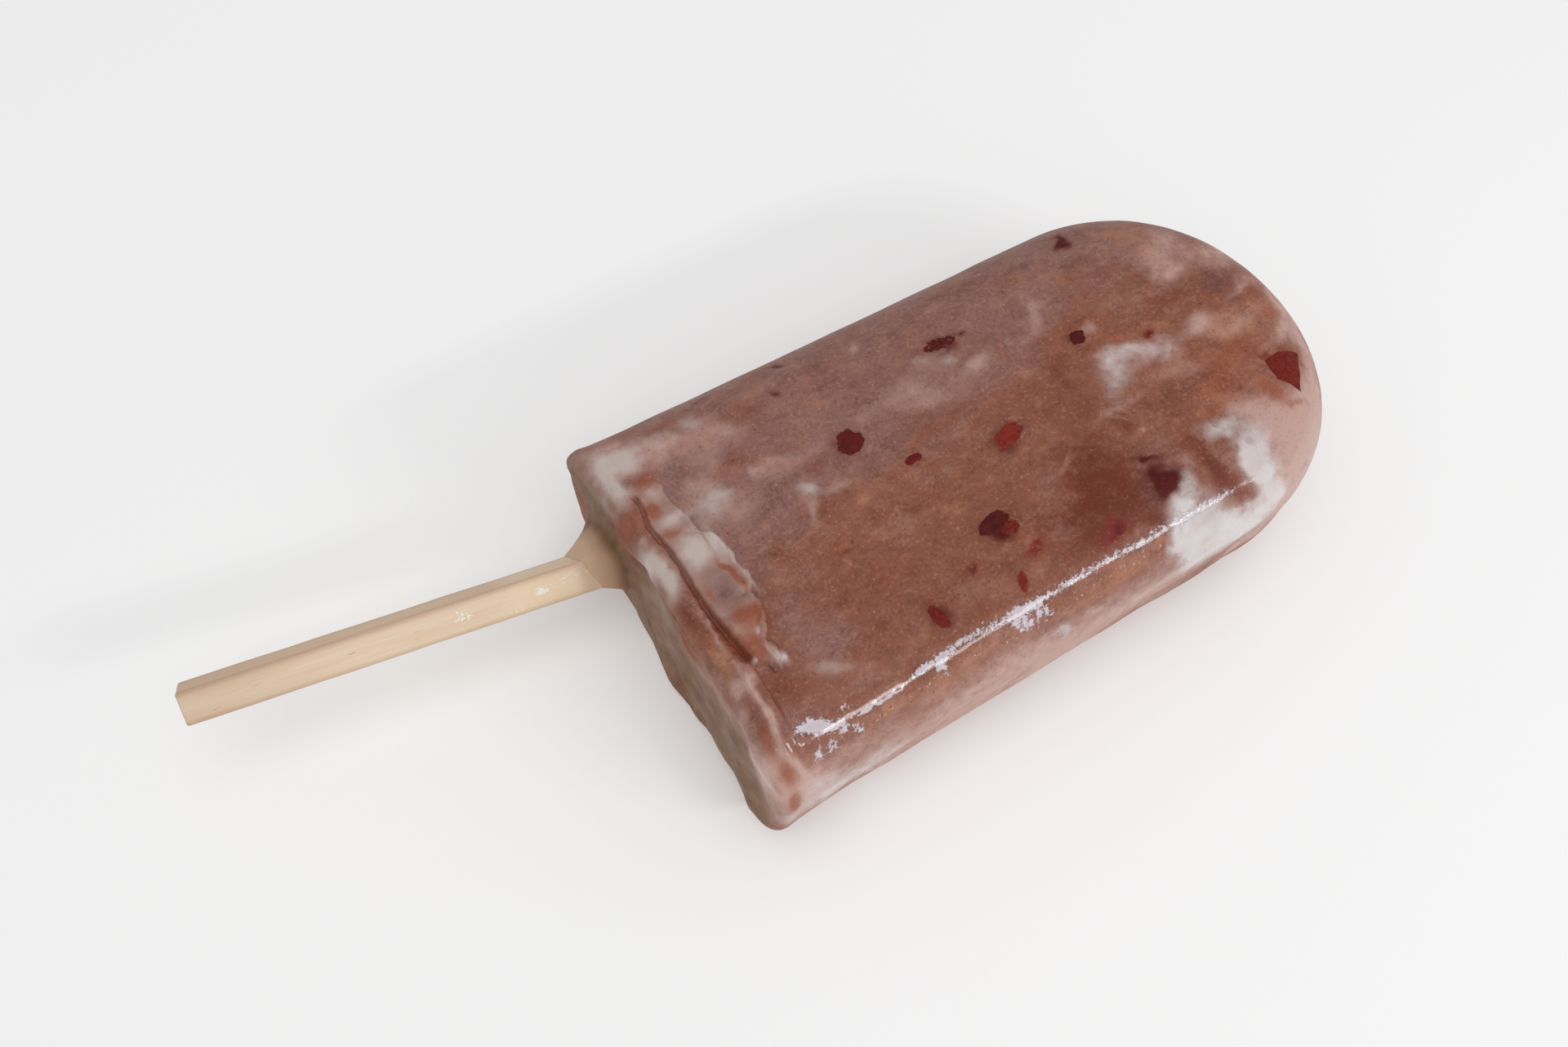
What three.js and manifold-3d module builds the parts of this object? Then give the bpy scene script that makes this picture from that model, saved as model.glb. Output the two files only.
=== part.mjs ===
// An ice pop that lies on its flat back: a moulded bar of milk ice with red fruit in it, on a square
// wooden stick. Millimetres. X runs along the bar from the stick to the round tip, Z points up, and
// the origin is at the middle of the flat back.
import * as THREE from "three";
import { ParametricGeometry } from "three/addons/geometries/ParametricGeometry.js";
import { mergeVertices } from "three/addons/utils/BufferGeometryUtils.js";
import Module from "manifold-3d";

const wasm = await Module();
wasm.setup();

const barLength = 92;
const barThickness = 22.8;
const openWidth = 50.2; // at the open end, which the stick goes into
const tipWidth = 49; // where the round tip begins
const edgeRadius = 9.2; // of the long edges
const tipLength = 24;
const tipPower = 2.09; // 2 makes the tip's outline an ellipse
const rimRadius = 1.8; // between the open face and the sides

const stickSide = 4.1;
const stickLength = 114;
const stickShown = 51;
const stickChamfer = 0.3;
const stickGap = 0.3; // between the stick and its socket
const stickTurn = { roll: 44, dip: 3, swing: -8.25 }; // degrees

const openX = -barLength / 2;
const tipX = barLength / 2 - tipLength;
const midHeight = barThickness / 2;
const stickEntry = new THREE.Vector3(openX, 11.8, midHeight);

const quarter = Math.PI / 2;
const clamp = THREE.MathUtils.clamp;
const ease = THREE.MathUtils.smoothstep;
const radians = THREE.MathUtils.degToRad;
const bell = (distance, width) => Math.exp(-((distance / width) ** 2));

const stickPose = new THREE.Matrix4()
  .makeRotationFromEuler(
    new THREE.Euler(radians(stickTurn.roll), radians(stickTurn.dip), radians(stickTurn.swing), "ZYX"),
  )
  .setPosition(stickEntry);
const stickOutward = new THREE.Vector3(-1, 0, 0).transformDirection(stickPose);

// --- The skin's relief beside the open end. "inward" is the distance from the open face.

// A furrow runs across the top face near its end and deepens towards its lower end.
const furrow = { inward: 2.7, bend: 1.9, start: 14, end: -12.2, depth: 1, foot: -12, bendWidth: 5 };
const furrowLine = (y) => furrow.inward + furrow.bend * bell(y - furrow.foot, furrow.bendWidth);

// Beside it lies a torn strip of skin, with a lobe between each notch of its edge and the next.
const strip = { notches: [14.5, 5.3, -0.9, -4.1, -9.6, -13], height: 1.1, width: 5.2, lobe: 0.9 };
function stripEdge(y) {
  const { notches, width, lobe } = strip;
  const next = notches.findIndex((notch, i) => i > 0 && (notch < y || i === notches.length - 1));
  const along = clamp((y - notches[next]) / (notches[next - 1] - notches[next]), 0, 1);
  const whole = clamp((notches[0] - y) / (notches[0] - notches.at(-1)), 0, 1);
  const bulge = Math.sin(Math.PI * along) ** 0.5 - 0.5;
  return furrowLine(y) + 1 + width * Math.sin(Math.PI * whole) ** 0.7 + lobe * bulge;
}

// The rim beyond the furrow stands up as a ridge.
const ridge = { height: 0.7, top: 17, foot: -23 };

// The skin near the end is measured in marks: 0 at the rim, 1 at the furrow, 2 at the strip's torn
// edge and 3 where the relief ends.
const reliefEnd = 11;
function inwardOf(mark, y) {
  const places = [rimRadius, furrowLine(y), stripEdge(y), reliefEnd];
  const from = Math.min(Math.floor(mark), 2);
  return THREE.MathUtils.lerp(places[from], places[from + 1], mark - from);
}

function topRelief(mark, y) {
  const onStrip = ease(y, -12.4, -11) * (1 - ease(y, 9, 14.5));
  const stripTop = strip.height * (1 + 0.12 * Math.sin(0.7 * y + 2 * mark) + 0.35 * ease(-y, 2, 9));
  const stripShape = ease(mark, 1, 1.16) * (1 - ease(mark, 1.95, 2.05));
  const deep = furrow.depth * ease(y, furrow.end, furrow.end + 1.5) * (1 - ease(y, -11, furrow.start));
  const furrowShape = mark < 1 ? ease(mark, 0.6, 1) : 1 - ease(mark, 1, 1.16);
  const onRidge = ease(y, ridge.foot, ridge.foot + 7) * (1 - ease(y, ridge.top - 8, ridge.top));
  const ridgeShape = ease(mark, -0.4, 0.6) * (1 - ease(mark, 0.75, 1.05));
  return stripTop * onStrip * stripShape - deep * furrowShape + ridge.height * onRidge * ridgeShape;
}

// The open end leaves the mould with a flared lip at each side, and juts out a little at three places.
const flare = { size: 0.8, fade: 2.4 };
const flareAt = (inward, turn) => flare.size * Math.sin(turn) ** 2 * Math.exp(-inward / flare.fade);
const juts = [
  { size: 1, y: -1.5, z: 0, length: 4.5, height: 5, fade: 1.2 },
  { size: 0.9, y: -23, z: 3, length: 5.5, height: 8, fade: 2.4 },
  { size: 0.8, y: 22.5, z: 19, length: 4, height: 5, fade: 2.4 },
];
function jutAt(y, z, inward) {
  const outOf = ({ size, fade, ...jut }) =>
    size * bell(y - jut.y, jut.length) * bell(z - jut.z, jut.height) * Math.exp(-inward / fade);
  return juts.reduce((total, jut) => total + outOf(jut), 0);
}

// The open face is uneven, and the ice climbs the stick as a collar, higher on the +Y side.
const collar = { climb: 4.8, lean: 0.35, reach: 4.1, wall: 0.3, hollow: 2 };
const faceWave = (y, z) =>
  0.25 * Math.sin(0.42 * y + 0.9) * Math.cos(0.31 * z) + 0.15 * Math.sin(0.9 * y - 0.5 * z);

function collarClimb(y, z) {
  const angle = radians(stickTurn.roll);
  const p = Math.abs((y - stickEntry.y) * Math.cos(angle) + (z - stickEntry.z) * Math.sin(angle));
  const q = Math.abs((z - stickEntry.z) * Math.cos(angle) - (y - stickEntry.y) * Math.sin(angle));
  const beside = Math.hypot(Math.max(p - stickSide / 2, 0), Math.max(q - stickSide / 2, 0));
  const lean = (collar.lean * (y - stickEntry.y)) / Math.max(Math.hypot(p, q), stickSide);
  const away = clamp((beside - stickGap - collar.wall) / (collar.reach * (1 + lean)), 0, 1);
  return collar.climb * (1 + lean) * (1 - away) ** collar.hollow;
}

// --- The bar's skin: stations round its section, and rows from the stick to the tip.

const spread = (from, to, count) =>
  Array.from({ length: count }, (_, i) => from + ((to - from) * (i + 1)) / count);

// A station is a place on the inner rectangle (across and up, each -1 to 1) and the direction in
// which the skin lies from it (0 is up). The loop starts at the top's edge on the -Y side.
const station = (across, up, turn) => ({ across, up, turn });
const section = [
  station(-1, 1, 0),
  ...spread(-1, 1, 40).map((across) => station(across, 1, 0)),
  ...spread(0, quarter, 10).map((turn) => station(1, 1, turn)),
  ...spread(1, -1, 2).map((up) => station(1, up, quarter)),
  ...spread(quarter, 2 * quarter, 6).map((turn) => station(1, -1, turn)),
  ...spread(1, -1, 10).map((across) => station(across, -1, 2 * quarter)),
  ...spread(2 * quarter, 3 * quarter, 6).map((turn) => station(-1, -1, turn)),
  ...spread(-1, 1, 2).map((up) => station(-1, up, 3 * quarter)),
  ...spread(3 * quarter, 4 * quarter, 10).map((turn) => station(-1, 1, turn)),
];

const collarRings = [0, 2.2, 2.6, 3.1, 3.8, 4.8, 6.2, 7.8]; // distance from the stick's middle
const reliefMarks = [
  0.2, 0.4, 0.6, 0.75, 0.9, 1, 1.07, 1.16, 1.3, 1.5, 1.7, 1.85, 1.96, 2.04, 2.15, 2.4, 2.7, 3,
];
const rows = [
  ...collarRings.map((radius) => ({ part: "collar", radius })),
  ...[0.66, 0.33].map((share) => ({ part: "face", share })),
  ...spread(quarter, 0, 3).map((turn) => ({
    part: "rim",
    inward: rimRadius * (1 - Math.sin(turn)),
    sunk: rimRadius * (1 - Math.cos(turn)),
  })),
  ...reliefMarks.map((mark) => ({ part: "relief", mark })),
  ...spread(reliefEnd, tipX - openX, 14).map((inward) => ({ part: "side", inward })),
  ...spread(0, quarter, 11).map((turn) => ({ part: "tip", turn })),
];

// A point of the section, at a distance or a mark inward from the open face.
function sidePoint({ across, up, turn }, { inward, mark, sunk = 0 }) {
  const innerWidth = (along) =>
    THREE.MathUtils.lerp(openWidth, tipWidth, along / (tipX - openX)) / 2 - edgeRadius;
  const y = across * innerWidth(0) + edgeRadius * Math.sin(turn);
  const from = inward ?? inwardOf(mark, y);
  const relief = from < reliefEnd ? topRelief(mark ?? 0, y) * Math.max(0, Math.cos(turn)) ** 2 : 0;
  const radius = edgeRadius - sunk + relief + flareAt(from, turn);
  const z = midHeight + up * (midHeight - edgeRadius) + radius * Math.cos(turn);
  return new THREE.Vector3(
    openX + from - jutAt(y, z, from),
    across * innerWidth(from) + radius * Math.sin(turn),
    z,
  );
}

// A point of the open face, between the rim and the collar round the stick.
function facePoint(place, { part, radius = collarRings.at(-1), share }) {
  const rim = sidePoint(place, { inward: 0, sunk: rimRadius });
  const outward = rim.clone().sub(stickEntry).normalize();
  const point = stickEntry.clone().addScaledVector(outward, radius);
  if (part === "face") point.lerp(rim, 1 - share);
  point.x += faceWave(point.y, point.z) * ease(radius, 3, 8);
  return point.addScaledVector(stickOutward, collarClimb(point.y, point.z));
}

// A point of the round tip, where half of the section turns about the upright line through tipX.
function tipPoint(place, turn) {
  const start = sidePoint(place, { inward: tipX - openX });
  const reach = (Math.abs(start.y) * 2 * tipLength) / tipWidth;
  const power = 2 / tipPower;
  return new THREE.Vector3(
    tipX + reach * Math.sin(turn) ** power,
    start.y * Math.abs(Math.cos(turn)) ** power,
    start.z,
  );
}

function skinPoint(u, v, target) {
  const place = section[Math.round((1 - u) * (section.length - 1))];
  const row = rows[Math.round(v * (rows.length - 1))];
  if (row.part === "tip") target.copy(tipPoint(place, row.turn));
  else if (row.part === "collar" || row.part === "face") target.copy(facePoint(place, row));
  else target.copy(sidePoint(place, row));
}

// --- Solids

// A closed geometry as a manifold, with the triangles that have shrunk to a line left out.
function toManifold(geometry, matrix = new THREE.Matrix4()) {
  const bare = geometry.clone().applyMatrix4(matrix);
  bare.deleteAttribute("normal");
  bare.deleteAttribute("uv");
  const merged = mergeVertices(bare, 1e-3);
  const corners = [];
  for (let i = 0; i < merged.index.count; i += 3) {
    const [a, b, c] = merged.index.array.slice(i, i + 3);
    if (a !== b && b !== c && c !== a) corners.push(a, b, c);
  }
  const mesh = new wasm.Mesh({
    numProp: 3,
    vertProperties: merged.attributes.position.array,
    triVerts: new Uint32Array(corners),
  });
  return new wasm.Manifold(mesh);
}

function toGeometry(manifold) {
  const { vertProperties, triVerts } = manifold.getMesh();
  const geometry = new THREE.BufferGeometry();
  geometry.setAttribute("position", new THREE.BufferAttribute(new Float32Array(vertProperties), 3));
  geometry.setIndex(new THREE.BufferAttribute(new Uint32Array(triVerts), 1));
  geometry.computeVertexNormals();
  return geometry;
}

// Fruit that stands a little proud of the top: place, length, width and turn in degrees.
const fruitBits = [
  { x: -17.7, y: 6.7, long: 3.4, wide: 3.4, turn: 0 },
  { x: -0.7, y: -2.1, long: 4, wide: 2.6, turn: 60 },
  { x: -8.5, y: -11, long: 4.4, wide: 3, turn: 10 },
  { x: -0.3, y: 13, long: 4.8, wide: 2, turn: 15 },
  { x: 15, y: 5.4, long: 2.4, wide: 2, turn: 20 },
  { x: 11.7, y: -16, long: 3.2, wide: 2.6, turn: 80 },
  { x: -21.3, y: -17, long: 3.2, wide: 1.8, turn: -75 },
  { x: -12.5, y: 1, long: 2.2, wide: 1.4, turn: 30 },
];
const fruitProud = 0.35;
const fruitDepth = 1.1;

function fruitBit({ x, y, long, wide, turn }) {
  const shape = new THREE.IcosahedronGeometry(1, 1).scale(long / 2, wide / 2, fruitDepth);
  shape.rotateZ(radians(turn)).translate(x, y, barThickness + fruitProud - fruitDepth);
  return toManifold(shape);
}

// The strip ends in a curled tail, which lies on the top.
const tail = { x: -39.1, y: -11.7, long: 4.6, wide: 1.5, high: 1.6, turn: 82, tilt: 10 };

function stripTail() {
  const shape = new THREE.IcosahedronGeometry(1, 2).scale(tail.long / 2, tail.wide / 2, tail.high / 2);
  shape.rotateY(radians(tail.tilt)).rotateZ(radians(tail.turn));
  return toManifold(shape.translate(tail.x, tail.y, barThickness + tail.high / 4));
}

function socket() {
  const side = stickSide + 2 * stickGap;
  const hidden = stickLength - stickShown + stickGap;
  const outside = collar.climb + 3;
  const prism = new THREE.BoxGeometry(hidden + outside, side, side);
  return toManifold(prism.translate((hidden - outside) / 2, 0, 0), stickPose);
}

function iceBar() {
  const skin = new ParametricGeometry(skinPoint, section.length - 1, rows.length - 1);
  const fused = [stripTail(), ...fruitBits.map(fruitBit)];
  const bar = fused.reduce((solid, piece) => solid.add(piece), toManifold(skin));
  const ice = new THREE.MeshStandardMaterial({ color: 0x9a7368, roughness: 0.35, metalness: 0 });
  const mesh = new THREE.Mesh(toGeometry(bar.subtract(socket())), ice);
  mesh.name = "ice_bar";
  return mesh;
}

function stick() {
  const half = stickSide / 2;
  const middle = new THREE.Vector2();
  const corners = [0, 1, 2, 3].flatMap((side) =>
    [stickChamfer - half, half - stickChamfer].map((along) =>
      new THREE.Vector2(half, along).rotateAround(middle, side * quarter),
    ),
  );
  const prism = new THREE.ExtrudeGeometry(new THREE.Shape(corners), {
    depth: stickLength - 2 * stickChamfer,
    bevelThickness: stickChamfer,
    bevelSize: stickChamfer / 2,
    bevelOffset: -stickChamfer / 2,
    bevelSegments: 1,
  });
  prism.translate(0, 0, stickChamfer).rotateY(quarter).translate(-stickShown, 0, 0);
  const wood = new THREE.MeshStandardMaterial({ color: 0xd9c09c, roughness: 0.6, metalness: 0 });
  const mesh = new THREE.Mesh(prism.applyMatrix4(stickPose), wood);
  mesh.name = "stick";
  return mesh;
}

const icePop = new THREE.Group();
icePop.add(iceBar(), stick());
export default icePop;
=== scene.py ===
import math
import random

import bmesh
import bpy
import numpy as np
from mathutils import Euler, Matrix, Vector, noise


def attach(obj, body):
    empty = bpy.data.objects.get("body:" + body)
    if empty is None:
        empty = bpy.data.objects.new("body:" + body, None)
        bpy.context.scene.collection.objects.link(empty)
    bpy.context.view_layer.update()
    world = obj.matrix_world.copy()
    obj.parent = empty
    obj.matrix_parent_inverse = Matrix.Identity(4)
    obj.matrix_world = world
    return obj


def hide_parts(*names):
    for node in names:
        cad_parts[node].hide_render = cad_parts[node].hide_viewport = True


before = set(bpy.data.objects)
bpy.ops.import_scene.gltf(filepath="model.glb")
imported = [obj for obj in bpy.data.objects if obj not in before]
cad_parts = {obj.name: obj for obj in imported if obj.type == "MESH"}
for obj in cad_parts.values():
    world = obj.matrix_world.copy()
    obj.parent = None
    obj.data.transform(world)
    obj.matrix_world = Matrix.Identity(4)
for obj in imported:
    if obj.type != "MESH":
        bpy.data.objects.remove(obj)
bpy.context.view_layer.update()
metre = 0.001  # millimetres to metres
quarter = math.pi / 2
warpSeed = 960  # without it noise_vector differs from run to run
noise.seed_set(warpSeed)
print("loaded", sorted(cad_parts))


# Small maths that the shapes share.
def mix(start, end, share):
    return start + (end - start) * share


def clamp(value, low=0, high=1):
    return min(max(value, low), high)


def ease(value, low, high):
    share = clamp((value - low) / (high - low))
    return share * share * (3 - 2 * share)


def bell(distance, width):
    return math.exp(-((distance / width) ** 2))


def spread(start, end, count):  # the start itself is left out
    return [mix(start, end, (i + 1) / count) for i in range(count)]


def cosSin(degrees):
    angle = math.radians(degrees)
    return math.cos(angle), math.sin(angle)


def rough(place, size, stretch=1):  # -1 to 1, in lumps of this size, stretched along X
    return noise.noise(Vector((place.x / stretch, place.y, place.z)) / size)


def addObject(name, data):
    made = bpy.data.objects.new(name, data)
    bpy.context.scene.collection.objects.link(made)
    return made


def addMesh(bm, name, material):
    mesh = bpy.data.meshes.new(name)
    bm.to_mesh(mesh)
    bm.free()
    mesh.materials.append(material)
    return addObject(name, mesh)


def finish(bm, name, material):  # a bmesh in millimetres becomes a piece in metres
    bmesh.ops.scale(bm, vec=(metre, metre, metre), verts=bm.verts)
    bmesh.ops.recalc_face_normals(bm, faces=bm.faces)
    for face in bm.faces:
        face.smooth = True
    piece = addMesh(bm, name, material)
    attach(piece, "root")
    print(name, len(piece.data.polygons), "faces")
    return piece


class Wire:  # a socket that expressions can use
    def __init__(self, paint, socket):
        self.paint = paint
        self.socket = socket

    def maths(self, operation, *values):
        return self.paint.node("ShaderNodeMath", {"operation": operation}, dict(enumerate(values)))

    def __add__(self, other):
        return self.maths("ADD", self, other)

    __radd__ = __add__

    def __mul__(self, other):
        return self.maths("MULTIPLY", self, other)

    def __sub__(self, other):
        return self.maths("SUBTRACT", self, other)

    def __rsub__(self, other):
        return self.maths("SUBTRACT", other, self)


class Paint:  # one material, the few things that its nodes are made with, and its colour so far
    def __init__(self, name, look=(), ground=None):
        self.material = bpy.data.materials.new(name)
        self.material.use_nodes = True
        self.tree = self.material.node_tree
        self.shader = self.tree.nodes["Principled BSDF"]
        self.place = self.node("ShaderNodeTexCoord", output="Object")
        self.look = dict(look)
        self.colour = self.look.get(ground)

    def node(self, kind, settings=(), inputs=(), output=0):
        made = self.tree.nodes.new(kind)
        for name, value in dict(settings).items():
            setattr(made, name, value)
        for name, value in dict(inputs).items():
            if isinstance(value, Wire):
                self.tree.links.new(value.socket, made.inputs[name])
            else:
                made.inputs[name].default_value = value
        return Wire(self, made.outputs[output])

    def field(self, name):  # a value painted on the mesh's points
        return self.node("ShaderNodeAttribute", {"attribute_name": name}, output="Fac")

    def stretched(self, scale, place=(0, 0, 0), turn=(0, 0, 0), kind="POINT"):
        inputs = {"Vector": self.place, "Location": place, "Rotation": turn, "Scale": scale}
        return self.node("ShaderNodeMapping", {"vector_type": kind}, inputs)

    def noise(self, size, detail=2, roughness=0.5, place=None, swirl=0):  # 0 to 1, in lumps of this size
        inputs = {"Vector": place or self.place, "Scale": 1 / (size * metre)}
        inputs |= {"Detail": detail, "Roughness": roughness, "Distortion": swirl}
        return self.node("ShaderNodeTexNoise", {}, inputs)

    def step(self, value, low, high):
        inputs = {"Value": value, "From Min": low, "From Max": high}
        return self.node("ShaderNodeMapRange", {"interpolation_type": "SMOOTHSTEP"}, inputs)

    def coat(self, name, share):  # lays one of the look's colours over the colour so far
        inputs = {0: share, 6: self.colour, 7: self.look[name]}
        self.colour = self.node("ShaderNodeMix", {"data_type": "RGBA"}, inputs, output=2)

    def bump(self, height, strength=1):  # height in millimetres
        return self.node("ShaderNodeBump", {}, {"Height": height, "Strength": strength, "Distance": metre})

    def set(self, values):
        for name, value in values.items():
            if isinstance(value, Wire):
                self.tree.links.new(value.socket, self.shader.inputs[name])
            else:
                self.shader.inputs[name].default_value = value
        return self.material


def tint(red, green, blue):  # display values from 0 to 255, as a linear colour
    def linear(value):
        share = value / 255
        return share / 12.92 if share <= 0.04045 else ((share + 0.055) / 1.055) ** 2.4
    return (linear(red), linear(green), linear(blue), 1)


# The stick comes first, because the ice is shaped round it.
stick = {
    "side": 4.1, "length": 114, "shown": 51,
    "roll": 44, "dip": 3, "swing": -8.25,  # degrees
    "across": 11.8,  # where its middle meets the open face
    "edge": 0.32, "fibre": 0.06,
    "cuts": (-1.35, -0.7, 0, 0.7, 1.35),  # along its sides, for the fields that are painted on it
    # painted glints on wet spots on its upper side: local x, y, half length, half width, strength
    "glintSpots": [
        (-19.5, 0.1, 1.6, 1.2, 1), (-13.4, -1.1, 1.8, 0.5, 0.9), (-10.4, 0.2, 0.8, 0.45, 2.2),
        (-6.8, 0.4, 2.8, 1.2, 0.8),
    ],
    "darkLine": (-16.5, 2, 0.9),  # on its far lower edge: local x, half length, strength
}

bar = {
    "length": 92, "thickness": 22.8, "openWidth": 50.2, "tipWidth": 49, "edgeRadius": 9.2,
    "tipLength": 24, "tipPower": 2.09,
    "undulation": 0.06, "grit": 0.015, "wave": 0.22,
}
openX = -bar["length"] / 2
tipX = bar["length"] / 2 - bar["tipLength"]
midHeight = bar["thickness"] / 2
stickEntry = Vector((openX, stick["across"], midHeight))
stickTurn = Euler([math.radians(stick[name]) for name in ("roll", "dip", "swing")])
stickPose = Matrix.Translation(stickEntry) @ stickTurn.to_matrix().to_4x4()
stickOutward = stickTurn.to_matrix() @ Vector((-1, 0, 0))


# The ice is a skin that is laid over the bar from the stick to the tip. Lines across the top are rows
# of y and the value there.
furrow = {
    "line": [  # how far in from the rim it lies
        (-11.4, 4), (-10, 3.8), (-8, 3.55), (-6, 3.25), (-3.5, 2.95), (-1, 2.9), (2, 3.05), (4.5, 2.95),
        (6.3, 2.6), (8, 2.35), (9.6, 2.55), (11, 2.9), (12.2, 2.95), (13.5, 2.5),
    ],
    "depth": [
        (-11.5, 0), (-10.8, 0.7), (-9, 0.95), (-4, 0.8), (0, 0.55), (5, 0.35), (9, 0.2), (11.6, 0.2),
        (12.5, 0.55), (13.2, 0),
    ],
    "width": [
        (-11, 0.6), (-8, 0.66), (-5, 0.54), (-2, 0.4), (1, 0.3), (5, 0.22), (11, 0.18), (12.5, 0.3),
    ],
}
strip = {
    "edge": [  # how far in from the rim its torn edge lies
        (-14, 6.9), (-12.5, 6.9), (-11, 6.7), (-9.9, 6.8), (-8.8, 7.7), (-7.5, 8.3), (-6, 8.4),
        (-4.6, 8.3), (-3.5, 9), (-2, 9.15), (-0.4, 8.8), (1.2, 9.1), (3, 8.85), (4.6, 8.3), (5.1, 7.2),
        (7, 7), (8.2, 6.8), (10.2, 6.2), (12.6, 6.4), (14.4, 5.4), (15.2, 3.8),
    ],
    "height": [
        (-14, 0.8), (-12, 1), (-10, 1.2), (-7, 1.4), (-3, 1.15), (0, 1), (5, 1), (9, 0.7), (12, 0.5),
        (15, 0),
    ],
    "foot": [(2.6, -11.2), (3.1, -11.35), (5.3, -12.1), (6.5, -13.3)],  # inward, and the y at which it ends
    "notches": [5.1, -0.4, -4.3, -9.9],
    "ragged": 0.28, "crease": 0.4, "lip": 0.25, "wall": 0.24,
}
# The strip's outer sliver is lower.
fold = {"line": [(0.5, 7.5), (3, 7.1), (6.5, 7.05)], "drop": 0.5, "start": 1, "end": 6.6}
ridge = {"height": 0.75, "top": 17, "foot": -23}  # between the rim and the furrow
# A fine raised line runs on from the furrow's foot.
seam = {"inward": 2.4, "width": 0.32, "height": 0.35, "top": -10.5, "foot": -26, "bend": 1.1}
reliefEnd = 11
rimRound = [  # y and the radius
    (-25.1, 1.6), (-21, 2.5), (-14, 2.6), (-8, 1.8), (-2, 1.5), (5, 1.5), (11, 1.8), (15, 2.2), (20, 2.3),
    (25.1, 1.5),
]
flare = {"size": 0.8, "fade": 2.4}
juts = [  # the open face stands out here: size, y, z, length, height and how far it reaches along the bar
    (1, -1.5, 0, 4.5, 5, 1.2), (0.9, -23, 3, 5.5, 8, 2.4), (0.8, 22.5, 19, 4, 5, 2.4),
]
# The ice climbs the stick as a collar, and "ring" is how far from the stick's middle the face begins.
collar = {"climb": 4.8, "lean": 0.35, "reach": 4.4, "hollow": 2.1, "ring": 7.8}
# The rim's skin overhangs the open face, with a groove below it.
roll = {"groove": 0.4, "below": 2.5, "width": 0.9, "lump": 0.25, "foot": -4, "top": 8}


def trace(rows, y):  # a softened line through the rows
    places, values = zip(*rows)
    return sum(float(np.interp(y + shift, places, values)) for shift in (-0.25, 0, 0.25)) / 3


def furrowLine(y):
    return trace(furrow["line"], y) + 0.1 * noise.noise(Vector((0, y / 0.8, 7)))


def stripEdge(y):
    torn = noise.noise(Vector((5, y / 1.1, 0))) + 0.6 * noise.noise(Vector((9, y / 0.4, 0)))
    return trace(strip["edge"], y) + strip["ragged"] * torn


def rimRadius(y):
    return trace(rimRound, y)


# The skin near the open end is measured in marks: 0 at the rim, 1 at the furrow, 2 at the strip's
# torn edge and 3 where the relief ends.
def inwardOf(mark, y):
    places = [rimRadius(y), max(furrowLine(y), rimRadius(y) + 0.6), stripEdge(y), reliefEnd]
    start = min(int(mark), 2)
    return mix(places[start], places[start + 1], mark - start)


def creases(mark, y):  # short folds that run into the strip from its notches
    depth = sum(bell(y - notch - 0.5 * (2 - mark), 0.4) for notch in strip["notches"])
    return strip["crease"] * depth * ease(mark, 1.45, 1.9)


def stripShape(inward, y):
    foot = float(np.interp(inward, *zip(*strip["foot"])))
    top = ease(inward, furrowLine(y) + 0.05, furrowLine(y) + 0.6) * ease(y, foot - 0.3, foot + 0.3)
    return top * (1 - ease(inward, stripEdge(y) - strip["wall"] / 2, stripEdge(y) + strip["wall"] / 2))


def furrowShape(inward, y):
    uneven = 1 + 0.8 * noise.noise(Vector((3, y / 0.9, 1)))
    return bell(inward - furrowLine(y), trace(furrow["width"], y) * uneven)


def topRelief(mark, inward, y):
    lip = strip["lip"] * bell(stripEdge(y) - 0.5 - inward, 0.4)
    lower = fold["drop"] * ease(inward, trace(fold["line"], y) - 0.1, trace(fold["line"], y) + 0.15)
    lower *= ease(y, fold["start"], fold["start"] + 1) * (1 - ease(y, fold["end"] - 1, fold["end"]))
    thick = trace(strip["height"], y)
    stripTop = (thick + (lip - lower - creases(mark, y)) * ease(thick, 0, 0.8)) * stripShape(inward, y)
    deep = trace(furrow["depth"], y) * furrowShape(inward, y)
    onRidge = ease(y, ridge["foot"], ridge["foot"] + 7) * (1 - ease(y, ridge["top"] - 8, ridge["top"]))
    reach = furrowLine(y)
    ridgeShape = ease(inward, 0.2, reach * 0.75) * (1 - ease(inward, reach - 0.25, reach + 0.35))
    onSeam = ease(y, seam["foot"], seam["foot"] + 2) * (1 - ease(y, seam["top"] - 2, seam["top"]))
    seamLine = seam["inward"] + seam["bend"] * (bell(y - seam["top"], 2) + ease(-y, 20, 26))
    seamTop = seam["height"] * onSeam * bell(inward - seamLine, seam["width"])
    return stripTop - deep + ridge["height"] * onRidge * ridgeShape + seamTop


def collarClimb(y, z):  # how far the ice climbs the stick
    cos, sin = cosSin(stick["roll"])
    side, up = y - stickEntry.y, z - stickEntry.z
    p, q = abs(side * cos + up * sin), abs(up * cos - side * sin)
    beside = math.hypot(max(p - stick["side"] / 2, 0), max(q - stick["side"] / 2, 0))
    lean = collar["lean"] * side / max(math.hypot(p, q), stick["side"])
    away = clamp(beside / (collar["reach"] * (1 + lean)))
    return collar["climb"] * (1 + lean) * (1 - away) ** collar["hollow"]


def faceWave(y, z):
    broad = 0.25 * math.sin(0.42 * y + 0.9) * math.cos(0.31 * z) + 0.15 * math.sin(0.9 * y - 0.5 * z)
    return broad + 0.12 * noise.noise(Vector((y, z, 4)) / 2.2)


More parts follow.
